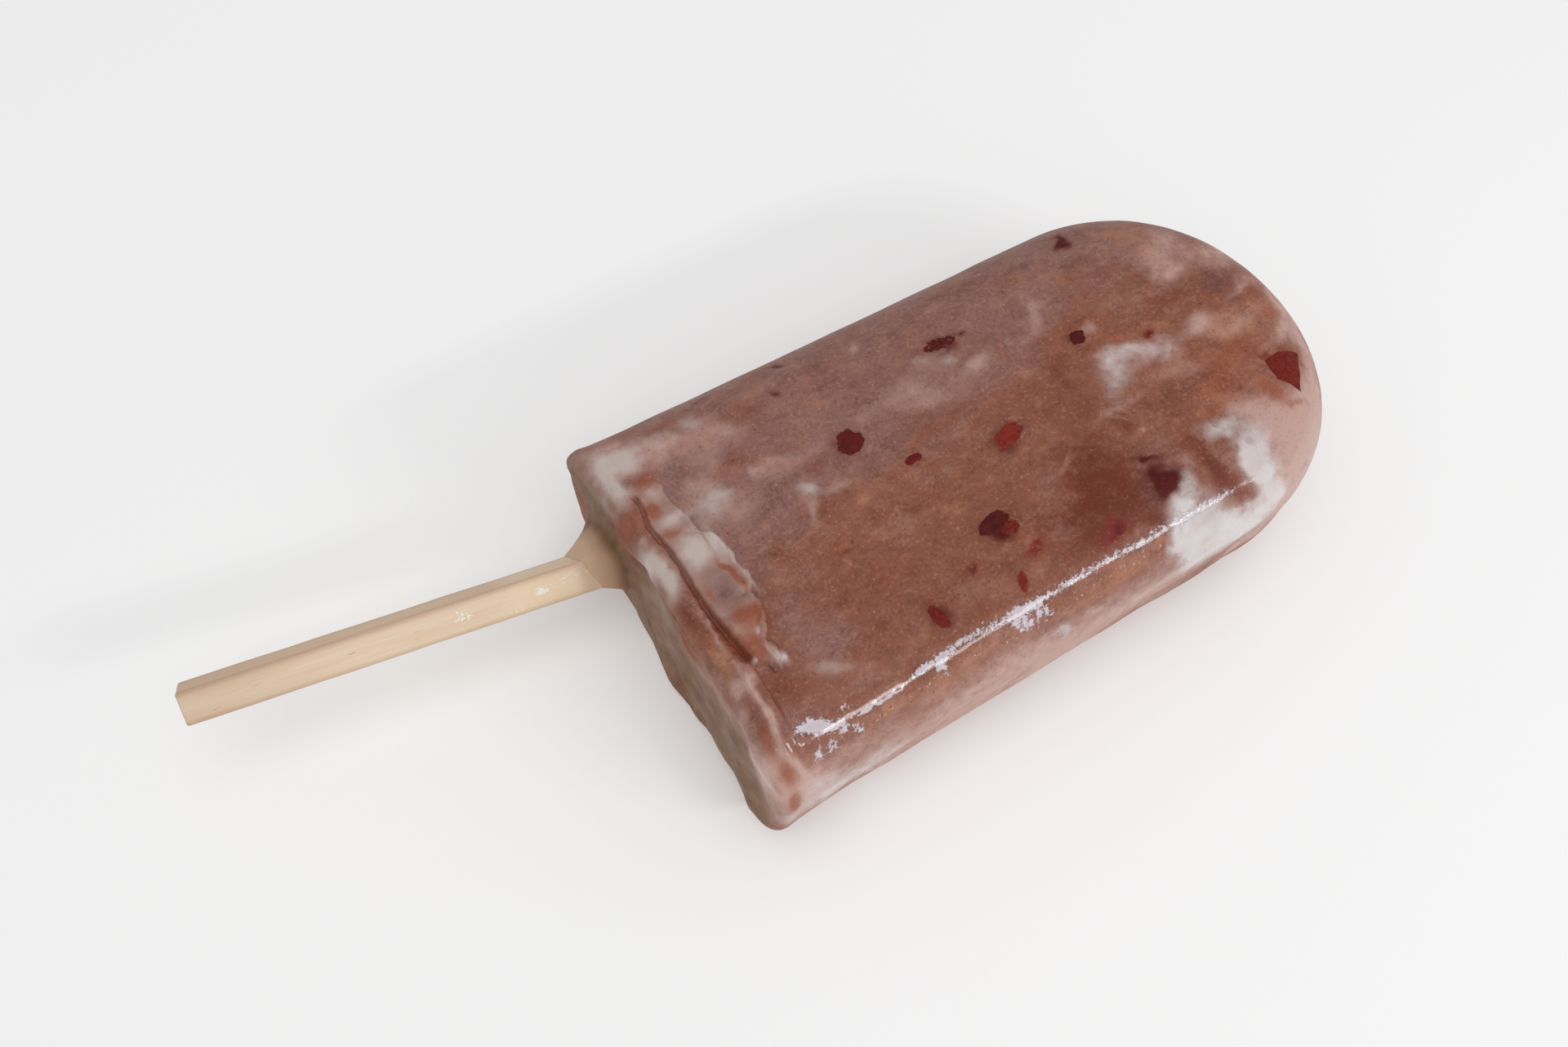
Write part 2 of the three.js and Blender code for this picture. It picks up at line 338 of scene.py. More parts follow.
# A station is a place on the section's inner rectangle (across and up, each -1 to 1) and the
# direction in which the skin lies from it (0 is up).
def sectionStations():
    stations = [(-1, 1, 0)]
    stations += [(across, 1, 0) for across in spread(-1, 1, 96)]
    stations += [(1, 1, turn) for turn in spread(0, quarter, 42)]
    stations += [(1, up, quarter) for up in spread(1, -1, 8)]
    stations += [(1, -1, turn) for turn in spread(quarter, 2 * quarter, 18)]
    stations += [(across, -1, 2 * quarter) for across in spread(1, -1, 28)]
    stations += [(-1, -1, turn) for turn in spread(2 * quarter, 3 * quarter, 18)]
    stations += [(-1, up, 3 * quarter) for up in spread(-1, 1, 8)]
    stations += [(-1, 1, turn) for turn in spread(3 * quarter, 4 * quarter, 42)]
    return stations


def skinRows():
    rows = [("collar", radius) for radius in [0] + spread(1.5, collar["ring"], 24)]
    rows += [("face", share) for share in spread(1, 0.35, 22) + spread(0.35, 0.02, 16)]
    rows += [("rim", turn) for turn in spread(quarter, 0, 10)]
    marks = spread(0, 1, 18) + spread(1, 1.4, 14) + spread(1.4, 2.1, 26) + spread(2.1, 3, 8)
    rows += [("relief", mark) for mark in marks]
    rows += [("side", inward) for inward in spread(reliefEnd, tipX - openX, 142)]
    rows += [("tip", turn) for turn in spread(0, quarter, 52)]
    return rows


def skinNoise(place):  # small unevenness, in millimetres
    end = 1 - ease(place.x, openX + 1, openX + 4)
    edge = ease(bar["thickness"] - place.z, 3, 8)
    onTop = ease(place.z, 15, 20)
    far = 1 + 0.8 * ease(place.y, 10, 20)
    waves = bar["wave"] * (edge * far * (1 - end * 0.5) + end * onTop) * rough(place, 4.5, 1.6)
    waves += roll["lump"] * end * onTop * 0.8 * rough(place, 1.8)
    return waves + bar["undulation"] * rough(place, 3.5, 1.5) + bar["grit"] * rough(place, 0.8)


def innerWidth(along):
    return mix(bar["openWidth"], bar["tipWidth"], along / (tipX - openX)) / 2 - bar["edgeRadius"]


def endY(station):  # where a station meets the open end
    return station[0] * innerWidth(0) + bar["edgeRadius"] * math.sin(station[2])


def sidePoint(station, inward=None, mark=None, sunk=0):
    across, up, turn = station
    radius = bar["edgeRadius"]
    y = endY(station)
    start = inwardOf(mark, y) if inward is None else inward
    relief = 0
    if start < reliefEnd:
        relief = topRelief(mark or 0, start, y) * max(0, math.cos(turn)) ** 2
    radius += relief - sunk + flare["size"] * math.sin(turn) ** 2 * math.exp(-start / flare["fade"])
    z = midHeight + up * (midHeight - bar["edgeRadius"]) + radius * math.cos(turn)
    out = sum(
        size * bell(y - jutY, long) * bell(z - jutZ, high) * math.exp(-start / fade)
        for size, jutY, jutZ, long, high, fade in juts)
    return Vector((openX + start - out, across * innerWidth(start) + radius * math.sin(turn), z))


def facePoint(station, radius, share):
    rim = sidePoint(station, inward=0, sunk=rimRadius(endY(station)))
    point = stickEntry + (rim - stickEntry).normalized() * radius
    point = point.lerp(rim, 1 - share)
    point.x += faceWave(point.y, point.z) * ease(radius, 3, collar["ring"])
    below = (rim - point).length - roll["lump"] * 3 * noise.noise(rim / 2.5)
    onRoll = ease(point.y, roll["foot"] - 4, roll["foot"]) * (1 - ease(point.y, roll["top"], roll["top"] + 4))
    point.x += roll["groove"] * bell(below - roll["below"], roll["width"]) * ease(rim.z, 10, 20) * onRoll
    return point + stickOutward * collarClimb(point.y, point.z)


def rimDistance(station, point):
    return (sidePoint(station, inward=0, sunk=rimRadius(endY(station))) - point).length


def tipPoint(station, turn):
    start = sidePoint(station, inward=tipX - openX)
    reach = abs(start.y) * 2 * bar["tipLength"] / bar["tipWidth"]
    power = 2 / bar["tipPower"]
    x = tipX + reach * math.sin(turn) ** power
    return Vector((x, start.y * abs(math.cos(turn)) ** power, start.z))


def skinPoint(station, row):
    part, value = row
    if part == "tip":
        return tipPoint(station, value)
    if part == "collar":
        return facePoint(station, value, 1)
    if part == "face":
        return facePoint(station, collar["ring"], value)
    if part == "rim":
        radius = rimRadius(endY(station))
        return sidePoint(station, inward=radius * (1 - math.sin(value)), sunk=radius * (1 - math.cos(value)))
    if part == "relief":
        return sidePoint(station, mark=value)
    return sidePoint(station, inward=value)


def makeSkin():
    stations, rows = sectionStations(), skinRows()
    bm = bmesh.new()
    bmesh.ops.create_grid(bm, x_segments=len(rows) - 1, y_segments=len(stations) - 1, size=0.5)
    face, stripLayer, furrowLayer = [bm.verts.layers.float.new(name) for name in ("face", "strip", "furrow")]
    for vert in bm.verts:
        row = rows[round((vert.co.x + 0.5) * (len(rows) - 1))]
        station = stations[round((vert.co.y + 0.5) * (len(stations) - 1))]
        part, value = row
        vert.co = skinPoint(station, row)
        # The open face is painted darker as painted shade; less so near the top of the rim, and part of it
        # runs round the rim.
        if part in ("collar", "face"):
            nearRim = ease(vert.co.z, 12, 18) * (1 - ease(rimDistance(station, vert.co), 0.5, 5.5))
            nearRim *= 1 - 0.8 * ease(vert.co.y, 9, 15)
            vert[face] = 1 - 0.55 * nearRim
        if part == "rim":
            vert[face] = (0.45 + 0.5 * ease(vert.co.y, 17, 21)) * math.sin(value)
        if part == "relief" and station[2] == 0 and station[1] == 1:
            y = vert.co.y
            inward = inwardOf(value, y)
            vert[stripLayer] = stripShape(inward, y) * ease(trace(strip["height"], y), 0.1, 0.7)
            # The furrow's field is stronger where the furrow is deeper: partly its brown, partly painted
            # shade.
            vert[furrowLayer] = furrowShape(inward, y) * ease(trace(furrow["depth"], y), 0.05, 0.75)
    bmesh.ops.remove_doubles(bm, verts=bm.verts, dist=0.002)
    bmesh.ops.dissolve_degenerate(bm, edges=bm.edges, dist=0.001)
    bmesh.ops.recalc_face_normals(bm, faces=bm.faces)
    bm.normal_update()
    moves = [vert.normal * skinNoise(vert.co) for vert in bm.verts]
    for vert, move in zip(bm.verts, moves):
        vert.co += move
    return bm


# The strip ends in a curled tail, which lies on the top.
tail = {
    "x": -39.65, "y": -11.6, "long": 4, "wide": 2, "high": 1.8, "turn": 82, "curl": 0.35, "lump": 0.22,
}


def addTail(bm):
    made = bmesh.ops.create_icosphere(bm, subdivisions=4, radius=1)
    turn = Matrix.Rotation(math.radians(tail["turn"]), 3, "Z")
    for vert in made["verts"]:
        along = vert.co.x
        thin = mix(0.55, 1, ease(along, -1, 0.4))  # it is thinner at its free end
        across, up = vert.co.y * thin, vert.co.z * thin
        local = Vector((along * tail["long"] / 2, across * tail["wide"] / 2, up * tail["high"] / 2))
        local.y += tail["curl"] * (along * along - 0.3)
        local += vert.normal * tail["lump"] * noise.noise(vert.co * 1.9)
        vert.co = turn @ local + Vector((tail["x"], tail["y"], bar["thickness"] + tail["high"] / 5))


# Where a point lies that is "across" millimetres from the top's middle line, measured on the skin,
# and the directions along the bar, on across the skin and out of it.
def onSkin(x, across):
    radius = bar["edgeRadius"]
    flat = bar["openWidth"] / 2 - radius
    wall = bar["thickness"] - 2 * radius
    arc = radius * quarter
    side = math.copysign(1, across)
    left = abs(across) - flat
    turn = clamp(left / radius, 0, quarter) + clamp((left - arc - wall) / radius, 0, quarter)
    down = clamp(left - arc, 0, wall)
    back = max(left - 2 * arc - wall, 0)
    y = min(abs(across), flat) + radius * math.sin(turn) - back
    z = midHeight + wall / 2 - down + radius * math.cos(turn)
    outward = Vector((0, side * math.sin(turn), math.cos(turn)))
    onward = Vector((0, math.cos(turn), -side * math.sin(turn)))
    return Vector((x, side * y, z)), Vector((1, 0, 0)), onward, outward


patchDepth = {"top": 10, "side": 6, "rim": 2.2, "face": 1.6}

# Marbling is soft patches in the ice, painted on the mesh's points: x, across, half length, half
# width, strength and, where it is turned, the degrees.
marbling = {
    "rose": [  # the greyer upper half, and the lighter open end
        (-24, 11, 22, 8, 1), (6, 13, 22, 7.5, 1), (28, 18, 12, 5, 0.7, -20), (-37, 3, 5, 14, 0.8),
        (-13, 3.8, 5, 2, 0.8), (-32, 3, 6, 3, 0.7), (0, 24, 46, 5, 0.9), (10, -2, 3, 2, 0.4, 40),
        (-33, -13, 5, 2, 0.5, -10), (1.5, -8.6, 4, 1.2, 0.4, 20), (-5, -6, 4, 1.2, 0.3),
    ],
    "tan": [  # the light warm tip
        (35, -2.4, 6, 2.4, 1), (31, -8, 4, 4, 0.5), (26, -4.5, 4, 1.6, 0.5, -20), (24, 8, 8, 4, 0.35),
        (30.5, 16, 7, 2.4, 0.6, -25), (31.5, 11.5, 2, 3, 0.5, 20), (24.4, -11, 3.5, 2, 0.7),
        (27, 1, 3, 0.8, 0.4), (-24, -23.5, 16, 1.6, 0.8), (19.6, 2.8, 0.8, 0.5, 1.6),
        (2, -23.4, 7, 1.6, 0.9), (-34, -1.2, 3, 1.6, 0.7), (-20, -1, 5, 1.8, 0.5),
        (-31, 10.5, 4, 1.4, 0.45), (14, 15, 8, 1.6, 0.35), (-18, 13, 6, 1.6, 0.35),
        (-15, -6.5, 5, 2, 0.45), (-33, -8.5, 4, 1.5, 0.3), (-4, -11.5, 4, 1.6, 0.4),
        (1.5, -12, 2, 2, 0.3), (4, -6, 5, 1.6, 0.25), (-44.4, -9.6, 0.7, 2.4, 1),
        (-44.3, -24.5, 0.8, 2.4, 1), (-41, -8.6, 1.6, 1.4, 0.8),
    ],
    "mauve": [
        (-37, 14, 1.6, 1.3, 1.5), (-38.7, 6.3, 0.2, 0.8, 1.2), (-40.4, -3, 1.6, 3, 0.6),
        (-35.4, 12.4, 1.8, 1.2, 0.7), (-28, 5.5, 4.5, 2, 0.3), (-31, 3, 4, 2, 0.45),
        (-13.5, 4.6, 4, 1.2, 0.4), (-11.4, 12, 2.4, 1.6, 0.55), (10.5, 13, 3, 1.2, 0.3, 40),
        (35.6, 3.8, 2, 1.6, 0.9, 20), (36.8, 0.8, 2, 1, 0.4), (20.9, -6.9, 2.2, 1.5, 0.45, -20),
        (16.5, -7.6, 2.4, 1, 0.4), (26.2, 18.8, 1.1, 0.9, 0.7), (8, 4.4, 3, 1.6, 0.4),
        (9.2, -16.2, 1.4, 2.4, 0.8), (11.5, -15.8, 2.8, 3, 0.9), (10.4, -11.8, 3, 1, 0.4),
        (-40.4, -2.4, 1.3, 2.6, 0.4), (-27.5, -7.6, 9, 1.3, 0.35), (-22.5, -15.6, 1.4, 2, 0.3),
        (-6, 17.5, 6, 2, 0.3), (7, 18, 4, 2, 0.35), (39, 4, 3, 3, 0.3), (-9, -8.2, 6, 0.7, 0.3),
    ],
    "rust": [
        (-40.8, 14.1, 1.5, 1.3, 1.1), (-42.1, 9.7, 0.9, 1.4, 1.4), (-41.6, 6.1, 1.4, 0.65, 1.2),
        (-38.8, -0.6, 0.45, 1.3, 1.2, 12), (-38.4, -2.6, 0.4, 1.5, 1.1, 5), (-41.9, -2.6, 0.55, 1.3, 1.2),
        (-39.5, -7, 1.9, 1.1, 1.6, -20), (-40.4, -9.4, 1.5, 1.6, 0.9), (-41, -10.8, 1.2, 1.5, 1.1),
        (-38.75, 3.6, 0.18, 2.4, 1), (-38.9, 3.4, 0.2, 2.4, 0.5), (-44.5, -6.4, 0.6, 1.8, 0.9),
        (-44.4, -24.8, 0.6, 1.6, 0.9), (-45.8, -14, 0.8, 2, 0.5), (31.3, -13.6, 1.3, 2.3, 1.2, 15),
        (32.4, -15.8, 1.8, 0.5, 0.8, -15), (23.4, -11.8, 1.6, 0.9, 0.8), (26, -8.4, 3, 2.4, 0.7),
        (22.6, -9.6, 3, 1, 0.5), (33, -6.2, 2, 1.6, 0.7), (29, -6.2, 3, 2, 0.6),
        (38.6, -3.4, 2.6, 1, 0.8, 15), (33, -0.8, 0.8, 0.5, 0.6), (29, 3.6, 6, 1.8, 0.3),
        (24, 4.8, 4, 1.4, 0.2), (37, 9, 1.6, 1.2, 0.7), (32, 12.6, 1, 0.7, 0.5), (25, 12, 1.6, 1, 0.5),
        (40, 1, 2, 1, 0.5), (19.6, 2.9, 1.1, 0.6, 1.2), (22.9, 0.9, 1.1, 0.9, 1.2, 35),
        (21, -2.9, 2.4, 0.6, 0.5), (24.3, -2.7, 1, 0.3, 0.6), (18.9, -2.3, 0.9, 0.6, 0.9, -20),
        (6.3, 8, 1, 1.3, 0.7), (-31.4, 11.2, 3.2, 1.2, 0.5, 15), (-22.6, 9.6, 1.4, 0.8, 0.4),
        (-16, 17.2, 1, 0.8, 0.4), (-8.6, 6, 1.6, 2, 0.35), (1.2, 2.6, 1.8, 0.6, 0.4, 10),
        (11.6, 17, 1.4, 0.8, 0.4), (-21, -6.4, 3, 1.3, 0.5), (-22, -10.2, 4, 1, 0.4),
        (-26.4, -4.6, 1, 0.9, 0.6), (-33, -18.6, 5, 1, 0.4), (-10.8, -19.4, 8, 1, 0.4),
        (8.2, -22.5, 0.9, 2, 0.9), (-19, -21.9, 5, 0.8, 0.4), (16, 15, 1.6, 0.7, 0.3),
        (16, 2.2, 2, 0.8, 0.4, 20), (44.5, 3, 1, 7, 0.6), (42.5, 14, 1.5, 3, 0.5, 20),
        (-5, -16.6, 3.4, 1.4, 0.5), (16.6, -15.4, 1.6, 2.2, 0.7),
    ],
    "brick": [
        (5.6, -8.4, 4, 2.8, 0.9, 30), (5, -12, 5.8, 4, 1.1), (5.5, -16.5, 4.6, 3.8, 1.3),
        (-1, -17.5, 6, 2.4, 0.9), (8.4, -20, 1, 2.2, 1.1), (1.2, -14.4, 5, 2, 0.8),
        (-4.2, -14, 2.4, 1.6, 0.5), (-20, -18.6, 7, 1.6, 0.45), (-30, -19.4, 5, 1.2, 0.4),
        (9.4, 2.2, 1.3, 1.6, 1, 20), (8.6, -0.4, 2.2, 1.6, 0.9), (9.4, -3.2, 2.4, 1.3, 0.7, 30),
        (4.4, 1.2, 1.4, 1, 0.5), (17.4, -14, 1.5, 1.9, 0.8, 10), (17.8, -17.8, 1.3, 3, 1.6, 5),
        (19.6, -20.6, 1.6, 1.2, 1.4, -30), (-40.6, -15.6, 1.8, 3.2, 0.9), (-38.6, -19.4, 3, 1, 0.6, -10),
        (-45.2, 10.4, 0.8, 1.4, 2), (-46, 9.6, 0.9, 1.7, 1.8), (-45.1, -3.6, 0.8, 1.7, 1.2, 10),
        (-44.5, -19.4, 0.6, 1.8, 1.5), (-44.6, -28.6, 0.8, 1.8, 1.2), (-45.3, -7.4, 0.5, 1.4, 0.8),
        (-10.5, -24.4, 1.1, 0.7, 1, -20), (-26, -13.5, 7, 2, 0.3), (-14, -18.6, 8, 1.6, 0.35),
        (8, 19.2, 5, 2, 0.7), (-1, 19.5, 4, 1.2, 0.3), (12.2, -7.6, 1.4, 0.8, 1.1, -25),
        (3, -6.8, 3, 1.2, 0.5), (-24, 21, 8, 1.4, 0.3), (-8, 21.5, 5, 1.5, 0.35), (29, 4.4, 7, 1.7, 0.8),
        (20.9, -6.9, 1.4, 1, 0.5, -20),
    ],
    "pale": [
        (-45, -27, 1.2, 2.5, 0.6), (31, -20, 6.5, 5, 1.3, 20), (36.5, -17, 5, 4, 1.3, 35),
        (40.5, -9, 2.4, 5, 1.1, -10), (37.5, -6.8, 2.8, 1.1, 0.9, 20), (42.6, -2, 1.6, 5, 1),
        (27, -27, 6, 4, 1.1), (28, -15, 2.4, 3, 1), (26, -12.6, 2, 1, 0.6), (30.6, -10.8, 1.4, 0.7, 0.3),
        (32.4, 9.6, 4.6, 3.8, 0.62), (31.4, 7.6, 2, 1, 0.6), (34.4, 12.6, 2.2, 2.2, 0.5),
        (37.8, 7.6, 2.6, 2.4, 0.5), (29.6, -0.8, 2.6, 1.2, 1.1, 15), (31, 0.8, 1.6, 0.6, 0.5, 20),
        (39, 1.6, 2.6, 0.8, 0.8, 10), (24.2, -5.2, 2.2, 1.4, 0.5, -30), (20.2, -4.2, 2.6, 0.9, 0.4),
        # The long patch at (-18, -31.5) lightens the near side wall: partly a lighter ice, partly painted
        # light where that side faces the light.
        (33.5, 20, 4, 1.6, 0.7, -35), (41.6, 8, 1.4, 2.6, 0.8, 15), (-18, -31.5, 34, 5.6, 1.15),
        (-42.5, -28, 2.5, 4, 1), (5, -31, 8, 3.4, 0.5), (-2, -26, 2.5, 1, 0.4),
        (-40.9, 11.8, 1.4, 1.2, 0.7), (-40.4, 7.6, 1.4, 0.8, 0.9), (-39.7, -8.4, 1, 0.8, 0.3),
        (-39.6, -10.9, 0.6, 1.2, 0.9), (-40.6, -1.4, 1.3, 1.6, 0.5), (-41.1, -8, 0.9, 0.4, 0.4, -30),
        (-43.6, -4.8, 0.3, 4.8, 0.8), (-44.6, -13, 0.9, 1.2, 1), (-42.9, -12.8, 0.8, 1.4, 1, 10),
        (-43.4, -16.5, 0.45, 4, 1.4), (-42.9, -23, 0.5, 2.2, 1.2, 15), (-44.6, 7, 0.7, 0.9, 0.8),
        (-45, -22, 1.4, 2, 0.9), (-45.6, -15.5, 0.7, 1.2, 0.7), (-38, -26, 6, 1.6, 0.35),
        (-17, -27, 9, 2, 0.35), (-43.4, 21, 3, 4, 0.45), (-36, 9.6, 3, 4, 0.55), (-33, 12, 1.8, 1, 0.3),
        (-31, 15.5, 4, 3, 0.65), (-37.5, 17, 3.4, 2.2, 0.9), (-24, 18.6, 2.6, 1.2, 0.45, 10),
        (-28.6, 8.6, 2.6, 1, 0.6, 10), (-33, 5, 2.4, 2, 0.5), (-42, 19, 3, 3, 0.7),
        (-24, 8, 5, 1.4, 0.5, 5), (-22.4, 2.6, 1.8, 0.9, 0.6), (-26.4, 1.2, 1, 2.6, 0.5),
        (-15.2, 8.6, 2, 1, 0.4), (-9, 9, 4, 2, 0.5), (-6, 6.8, 2.4, 2, 0.5), (2.5, 8, 2.8, 1.1, 0.8),
        (0, 6.5, 5, 1.6, 0.3), (8, 8.8, 1.2, 0.8, 0.4), (13.4, 11.4, 1.2, 2.6, 0.7, -35),
        (11.6, 9, 1.6, 1, 0.4), (17.6, 5.6, 1.2, 1.3, 0.7), (2, 17.6, 2.4, 1, 0.4, 20),
        (-10, 17.8, 1.2, 1, 0.6), (-16.6, 19.6, 2, 0.8, 0.3), (16, -5.6, 3, 0.7, 0.4),
        (13.5, -9.2, 0.7, 0.5, 1, 30), (12, -5.4, 2.6, 0.8, 0.5, 10), (2, -8.2, 3, 0.6, 0.45, 25),
        (-27, -13.4, 2.4, 0.6, 0.35, -15), (-35.2, -16, 3.4, 1.4, 0.5, -20),
        (-2.6, -16, 2.6, 0.5, 0.35, -10), (15, -15.6, 0.9, 1.4, 0.6), (-32, -5, 2, 1, 0.25),
        (34, -3.2, 5, 1.8, 0.6), (39.4, 6.4, 2, 2.6, 0.5), (-18, -5.6, 1.4, 0.8, 0.35, 20),
        (-28, -10.6, 1.4, 0.6, 0.3), (-10, -3, 2.4, 1.4, 0.3), (-24, -2, 3, 0.7, 0.25),
        (18, -0.6, 4, 2.4, 0.5, 10), (23, -1.4, 3, 1.8, 0.5), (-3, 11, 3, 1.2, 0.4, -10),
    ],
    "cream": [
        (-43.4, 18.2, 2.4, 1.9, 1.4, 5), (-41.4, 17.2, 1.6, 1.5, 1), (-44.6, 15, 1, 3.4, 1.3),
        (-44.6, 21, 2.4, 3, 0.3), (-37.8, 18.8, 2.6, 1.4, 0.6), (-32.6, 18.4, 1.9, 1.9, 0.7, 20),
        (-29.6, 15.4, 1, 1.6, 0.4, 20), (-43.4, 13.6, 0.9, 1, 0.6), (-36.2, 7.6, 2.6, 2.4, 0.75, 15),
        (-34.2, 8.8, 1.6, 1.3, 0.45, 20), (-36.6, 11.4, 0.9, 0.9, 0.35), (-29.8, 8.4, 0.9, 0.8, 0.4),
        (-25.2, 4, 1.3, 1.4, 0.9), (-26.5, 0.6, 0.7, 1.6, 0.5, -10), (-23, 2.6, 1.2, 0.7, 0.3),
        (-35.6, -15.6, 2.2, 0.9, 0.5, -20), (-33.6, -17.2, 2.2, 0.7, 0.45, -20),
        (-40.6, 3, 1.9, 2.2, 1.6), (-37.8, 2.8, 0.8, 2, 1.6), (-40.7, 7.6, 1.8, 0.9, 0.9),
        (-40.9, 12, 1, 1, 0.6), (-37.5, -1.8, 0.3, 2.4, 1.2), (-44.9, 4.4, 1, 1.9, 1.5),
        (-44.8, 1.4, 1, 1.8, 1.4), (-45.8, -0.6, 0.7, 1.2, 0.5), (-1.1, 10.6, 1.1, 1.2, 0.6),
        (-4, 12, 1.6, 0.7, 0.5, -10), (-10, 18, 0.8, 0.8, 0.3), (-43.3, -13.2, 0.7, 1.2, 0.7),
        (-39.4, -12.4, 0.5, 0.9, 1.4, 5), (-44.6, -32, 1.4, 3, 1.1), (-42.2, -30, 1.6, 3, 0.7),
    ],
    "milk": [
        (18, 0.7, 2.4, 1.6, 0.5, -5), (16.2, -1.2, 2, 2.4, 0.6, 30), (14.2, -3.2, 2.4, 1.4, 0.4, 40),
        (21.4, -1, 2, 1.2, 0.4, -20), (24.2, -1.4, 2.2, 1.8, 0.5), (20, 0.3, 1.8, 1, 0.35, -20),
        (13.6, -17.4, 1.3, 1.1, 0.6, 30), (12.4, -19.4, 2.6, 1.3, 0.95), (11, -22, 2, 2, 1.4),
        (14, -23.4, 3, 2, 1.6), (11, -27, 2, 4, 1), (16, -27.5, 5, 3.6, 1.4), (21.5, -27.5, 4, 3, 1),
        (17, -26, 3, 1.2, 1.2, -20), (20.8, -13.4, 1.8, 1, 0.8, -10), (23.4, -13.9, 2, 0.9, 0.6, 10),
        (22.9, -18, 1.6, 2.8, 1.3), (23.8, -21.2, 1.5, 2, 1.5, -10), (25.4, -17.6, 1.6, 3.4, 1),
        (25.2, -24.6, 2, 2.4, 1.2), (-7.6, -27, 1.4, 2, 0.8), (-2, -25.8, 2, 0.7, 0.4),
        # Here (-39.5, -8.8) and (-41.8, -11.4) are painted glints, and (-39.2, -12.7) is the tail's white
        # tip, partly a painted glint.
        (-39.2, -12.7, 0.4, 0.6, 0.9), (-39.5, -8.8, 0.4, 0.3, 0.8, 20), (-41.8, -11.4, 0.3, 0.25, 1.5),
        (-41, -27.5, 3, 2.4, 0.5), (-34, -29, 4, 1.6, 0.3), (-43.9, 19, 1, 0.8, 0.5),
    ],
    "amber": [  # orange brown, over the pale ones
        (-45.6, 21.5, 1.2, 3, 0.2), (-45.2, 10.2, 0.9, 1.5, 1.3), (19.6, 2.8, 0.9, 0.6, 1.2),
        (31.2, -12.8, 1.1, 2.6, 1.3, 12), (33.2, -16.3, 2, 0.4, 1, -18), (29.8, -9.4, 1.4, 1.4, 0.7),
        (22.9, 0.9, 1, 0.8, 1.2, 35), (38.6, -3.8, 2, 0.9, 0.8, 15), (32.6, -6.4, 2.2, 1.2, 0.6),
        (-44.5, -19.8, 0.7, 1.6, 1.2), (-44.2, -23.6, 1, 1.6, 1.2), (-44.5, -28.4, 0.9, 2.2, 1.5),
        (-40.4, -10.2, 1, 1.2, 0.5), (-43.4, 9.8, 0.7, 1.2, 0.5),
    ],
    "wine": [
        (2.4, -18.8, 1.9, 1.3, 1.7), (20, -22.4, 2.8, 1.5, 0.6, -35), (22.2, -24, 1.4, 0.9, 0.5, -40),
        (34.9, -11.2, 2.9, 2.9, 0.45), (18.4, -19, 1.2, 1.4, 0.4), (-4.4, -19.2, 0.9, 0.6, 0.5),
        (10.6, -17.4, 1.6, 1.2, 0.6), (-6.9, -15.8, 1.5, 0.65, 1.6, 12), (22.9, 0.9, 0.9, 0.9, 0.9),
        (-14.4, -14.1, 1, 0.8, 0.9, 20), (33.2, -8.6, 0.7, 0.6, 0.9), (-45.4, 10.2, 0.5, 0.9, 0.6),
    ],
    "berry": [
        (11.7, -15.9, 1.45, 1.8, 1.3), (10.6, -16.5, 0.9, 1, 0.9), (11.2, -13.1, 1.6, 0.35, 1, -8),
        (-14.4, -14.1, 0.8, 0.6, 0.55, 20), (22.6, 18.7, 1.8, 0.8, 1.6, 50),
        (22.9, 0.9, 0.9, 0.75, 0.75, 35), (2.7, -19, 1.1, 0.8, 0.7), (-22, 16.4, 1.2, 0.4, 0.9, -42),
        (-19.1, 21.2, 1.3, 0.6, 1.1, -50), (-29.4, 21.8, 2.4, 0.5, 0.6, -5),
        (-25.8, -5.5, 0.9, 0.25, 0.7, 5), (-24.6, -4.5, 0.25, 0.5, 0.6), (-14, -3, 0.35, 0.35, 0.4),
        (2.4, 12.8, 0.4, 0.3, 0.6), (-28, 28.4, 1.8, 0.7, 0.7), (-16.5, 28.6, 1.2, 0.7, 0.7, 20),
    ],
    # White patches where the near edge's highlight breaks up, and a glinting line along the seam: partly
    # frost, partly painted highlight.
    "frostAndHighlight": [
        (-40.2, -20.4, 1.4, 0.6, 1.2, -15), (-38.6, -21.4, 1.4, 0.7, 1.2, -20),
        (-40.1, -23.8, 0.6, 1.1, 0.9), (-38.4, -24, 0.9, 0.6, 0.9, -45),
        (-36.7, -22.6, 0.6, 1.2, 1.2, -15), (-34.9, -23.9, 0.6, 1.2, 1, 35),
        (-35.6, -20.6, 1.6, 0.25, 0.6), (-22.7, -22.4, 0.7, 1.3, 0.9, -15), (-12.5, -22.4, 1.6, 1.3, 1),
        (-9.7, -22.4, 0.8, 0.9, 0.9), (-18.4, -23.6, 1.2, 0.3, 0.5), (-31.6, -21.5, 5.8, 0.22, 1.5, 2.2),
        (10.8, -22.4, 0.35, 1, 0.7), (4.6, -22.4, 0.3, 0.9, 0.7), (-43.75, -20.6, 0.12, 1.6, 0.7),
    ],
    "wet": [
        (-20, -23, 40, 5, 1), (14, -23, 16, 6, 1), (-40.5, 3, 3.4, 14, 1), (-44.5, -16, 2.4, 12, 1),
        (34, -14, 12, 10, 0.3, 20), (-44.5, 14, 3, 8, 0.5),
    ],
}

# Frost crystals with a painted highlight lie in a line along the near long edge, and painted glints of drops
# below it: rows of x and across, and how wide.
frostAndHighlightLine = {
    "crystalsAndHighlight": ([(-27, -21.4), (-20, -20.9), (-9, -21.3), (0, -21.3), (4, -21.55), (20.5, -21.7)], 0.6),
    "dropGlints": ([(-38, -23.4), (9, -23.2)], 1.5),
}

